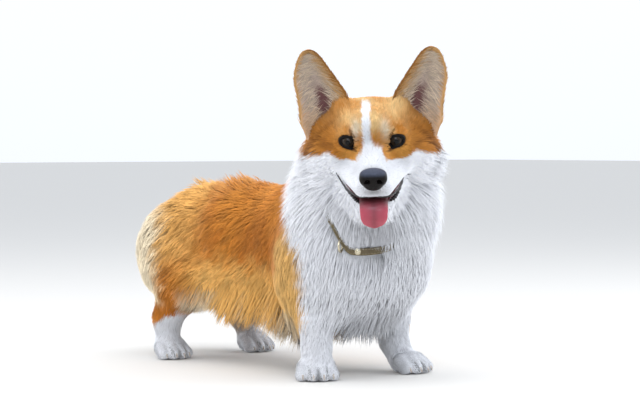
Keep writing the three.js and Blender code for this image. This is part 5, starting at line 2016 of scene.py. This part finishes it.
def ear_hair(kind, side, draw):
    """One kind of hair on one ear. ahead and across say how its tufts run up the ear and outwards."""
    values = EAR_HAIR[kind]
    t, s = ear_roots_of(kind, draw)
    half = np.maximum(spline(EAR_STATIONS, t)[:, 2], 4.0)
    length = values["length"] * draw.uniform(0.75, 1.2, len(t)) * (1 - 0.78 * blend_over(t, 0.74, 0.93))
    ahead, across = np.full(len(t), 0.95), 0.25 * s
    if kind == "tassel":
        ahead = np.full(len(t), 0.35) + 0.25 * draw.normal(size=len(t))
        across = -np.sign(s) * 0.9
    elif kind == "rim":
        across = np.sign(s) * 0.35
    elif kind == "inside":
        inner = blend_over(t, 0.85, 0.6)
        ahead = 0.95 - 0.5 * inner
        across = (0.25 + 0.65 * inner) * -np.sign(s + 0.25)
    across = across + 0.15 * draw.normal(size=len(t))
    rise = values["rise"] * draw.uniform(0.5, 1.1, len(t))
    direction = -1.0 if values["inside"] else 1.0
    steps = np.array([0.0, 0.5, 1.0])
    step_t = t[:, None] + steps * (ahead * length / EAR_UP)[:, None]
    step_s = s[:, None] + steps * (across * length / half)[:, None]
    lift = EAR_THICKNESS * 0.25 + np.array([0.0, 0.7, 1.0]) * rise[:, None]
    step_t = np.minimum(step_t, 0.99)
    spots = ear_point(side, step_t, step_s, direction * lift)
    low_t = np.minimum(step_t, 0.9)
    here = ear_point(side, low_t, step_s, direction * lift)
    nearby = ear_point(side, low_t, step_s + 0.02, direction * lift) - here
    above = here - ear_point(side, low_t - 0.03, step_s, direction * lift)
    facing = unit(np.cross(nearby, above)) * side * direction * -1
    if kind == "rim":
        outward = unit(nearby) * np.sign(s)[:, None, None]
        facing = unit(outward + np.array([0.0, -1.0, 0.4]))
    colours = ear_colours(t, s, values["inside"])
    tone = draw.normal(0.5, 0.34, len(t))
    if kind == "tassel":
        pale = np.clip(0.75 + 0.4 * draw.normal(size=len(t)), 0, 1)
        edge_grey = mixed(EAR_TAN, EAR_GREY, blend_over(s, -0.95, -0.6))
        colours = mixed(edge_grey, EAR_CREAM, pale * blend_over(s, -0.98, -0.75))
        foot = blend_over(spline(EAR_STATIONS, t)[:, 0], 38, 6)
        colours = mixed(colours, EAR_FOOT, 0.6 * foot)
    patch_x = EAR_PATCH_EDGE + (s + 1) / 2 * EAR_PATCH_SPAN[0] + 0.5 * values["inside"]
    patch_y = EAR_PATCH_EDGE + t * EAR_PATCH_SPAN[1]
    widths = values["width"] * draw.uniform(0.8, 1.2, len(t))
    piece = tuft_mesh(
        f"ear_{kind}_{SIDES[side]}",
        from_head(spots),
        facing @ HEAD_AXES.T,
        widths,
        colours,
        np.clip(tone, 0, 1),
        np.stack([patch_x, patch_y], -1),
        EAR_SOFTNESS,
        COAT,
    )
    return piece


for side, side_name in SIDES.items():
    ear = ear_shell(f"ear_shell_{side_name}", side)
    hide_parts(f"ear_{side_name}")
    for kind in EAR_HAIR:
        ear_hair(kind, side, draw)
print("ears made,", elapsed())

# %% [markdown]
# ## Floor, light and camera
# The floor is a plain pale sheet. The light is that of a soft studio.

# %% Stage
def floor_material():
    material, _, shader = new_material("floor", Roughness=0.9, Specular_IOR_Level=0.1)
    shader.inputs["Base Color"].default_value = (0.72, 0.71, 0.69, 1)
    return material


FLOOR_HALF = 30.0
floor_mesh = bpy.data.meshes.new("floor")
floor_corners = [(FLOOR_HALF * x, FLOOR_HALF * y, 0.0) for x, y in [(-1, -1), (1, -1), (1, 1), (-1, 1)]]
floor_mesh.from_pydata(floor_corners, [], [(0, 1, 2, 3)])
floor = bpy.data.objects.new("floor", floor_mesh)
floor_mesh.materials.append(floor_material())
bpy.context.scene.collection.objects.link(floor)
floor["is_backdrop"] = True

# The studio is bright overhead and behind the dog, and darker behind the camera, so that the eyes stay dark.
LOOK = Vector((0.6397, 0.7679, -0.0331))
SKY_AHEAD = 0.4
SKY_UP = 0.6
world = bpy.data.worlds.new("studio")
bpy.context.scene.world = world
world.use_nodes = True
sky = world.node_tree
background = sky.nodes["Background"]
background.inputs["Color"].default_value = (0.88, 0.92, 0.98, 1)
direction = add_node(sky, "ShaderNodeTexCoord")
facing_dot = add_node(sky, "ShaderNodeVectorMath", {"operation": "DOT_PRODUCT"})
facing_dot.inputs[1].default_value = (LOOK.x * SKY_AHEAD, LOOK.y * SKY_AHEAD, SKY_UP)
sky.links.new(direction.outputs["Generated"], facing_dot.inputs[0])
brightness = add_node(sky, "ShaderNodeMapRange", From_Min=-0.4, From_Max=0.55, To_Min=0.40, To_Max=1.22)
sky.links.new(facing_dot.outputs["Value"], brightness.inputs["Value"])
sky.links.new(brightness.outputs["Result"], background.inputs["Strength"])


def soft_light(name, place, aim, size, power, colour):
    data = bpy.data.lights.new(name, "AREA")
    data.size = size
    data.energy = power
    data.color = colour
    lamp = bpy.data.objects.new(name, data)
    lamp.location = Vector(place)
    lamp.rotation_euler = (Vector(aim) - Vector(place)).to_track_quat("-Z", "Y").to_euler()
    bpy.context.scene.collection.objects.link(lamp)
    return lamp


soft_light("sky_light", (-0.4, -0.3, 2.4), (0, 0, 0.1), 2.6, 31, (1.0, 0.98, 0.96))
front_light = soft_light("front_light", (-2.0, -2.3, 1.9), (0, -0.1, 0.25), 1.3, 20, (0.96, 0.98, 1.0))
front_light.visible_glossy = False
soft_light("side_light", (2.3, -1.5, 1.4), (0, -0.1, 0.2), 2.0, 34, (0.97, 0.98, 1.0))
soft_light("rear_light", (-2.3, 1.7, 1.3), (0, 0.2, 0.2), 1.8, 25, (1.0, 0.98, 0.95))
HIGHLIGHTS = {"window": ((-2.0, -1.9, 2.0), 1.3, 30.0), "eye_light": ((-0.9, -2.55, 1.1), 0.3, 9.0)}
for name, (place, size, power) in HIGHLIGHTS.items():
    highlight = soft_light(name, place, (-0.05, -0.3, 0.35), size, power, (0.75, 0.87, 1.0))
    highlight.visible_diffuse = False

# %% Camera
CAMERA_AT = Vector((-1.835, -2.300, 0.34))
camera_data = bpy.data.cameras.new("camera")
camera_data.lens = 106.7
camera_data.sensor_width = 36.0
camera = bpy.data.objects.new("camera", camera_data)
camera.location = CAMERA_AT + Vector(SHIFT)
camera.rotation_euler = LOOK.to_track_quat("-Z", "Y").to_euler()
bpy.context.scene.collection.objects.link(camera)
bpy.context.scene.camera = camera
bpy.context.scene.view_settings.view_transform = "Standard"

# %% [markdown]
# ## Ride and replace
# The model is one still body, so every piece rides on the root.

# %% Finish
FLESH = ["head", "lower_jaw", "neck", "chest", "loin", "rump", "tail"]
LIMB_PARTS = ["thigh", "hind_leg", "hind_foot", "upper_arm", "foreleg", "fore_foot"]
FLESH += [f"{part}_{side}" for part in LIMB_PARTS for side in ("left", "right")]
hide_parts(*FLESH)
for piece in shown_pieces():
    if body_of(piece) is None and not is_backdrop(piece):
        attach(piece, "root")

bpy.context.view_layer.update()
print("script done", elapsed())
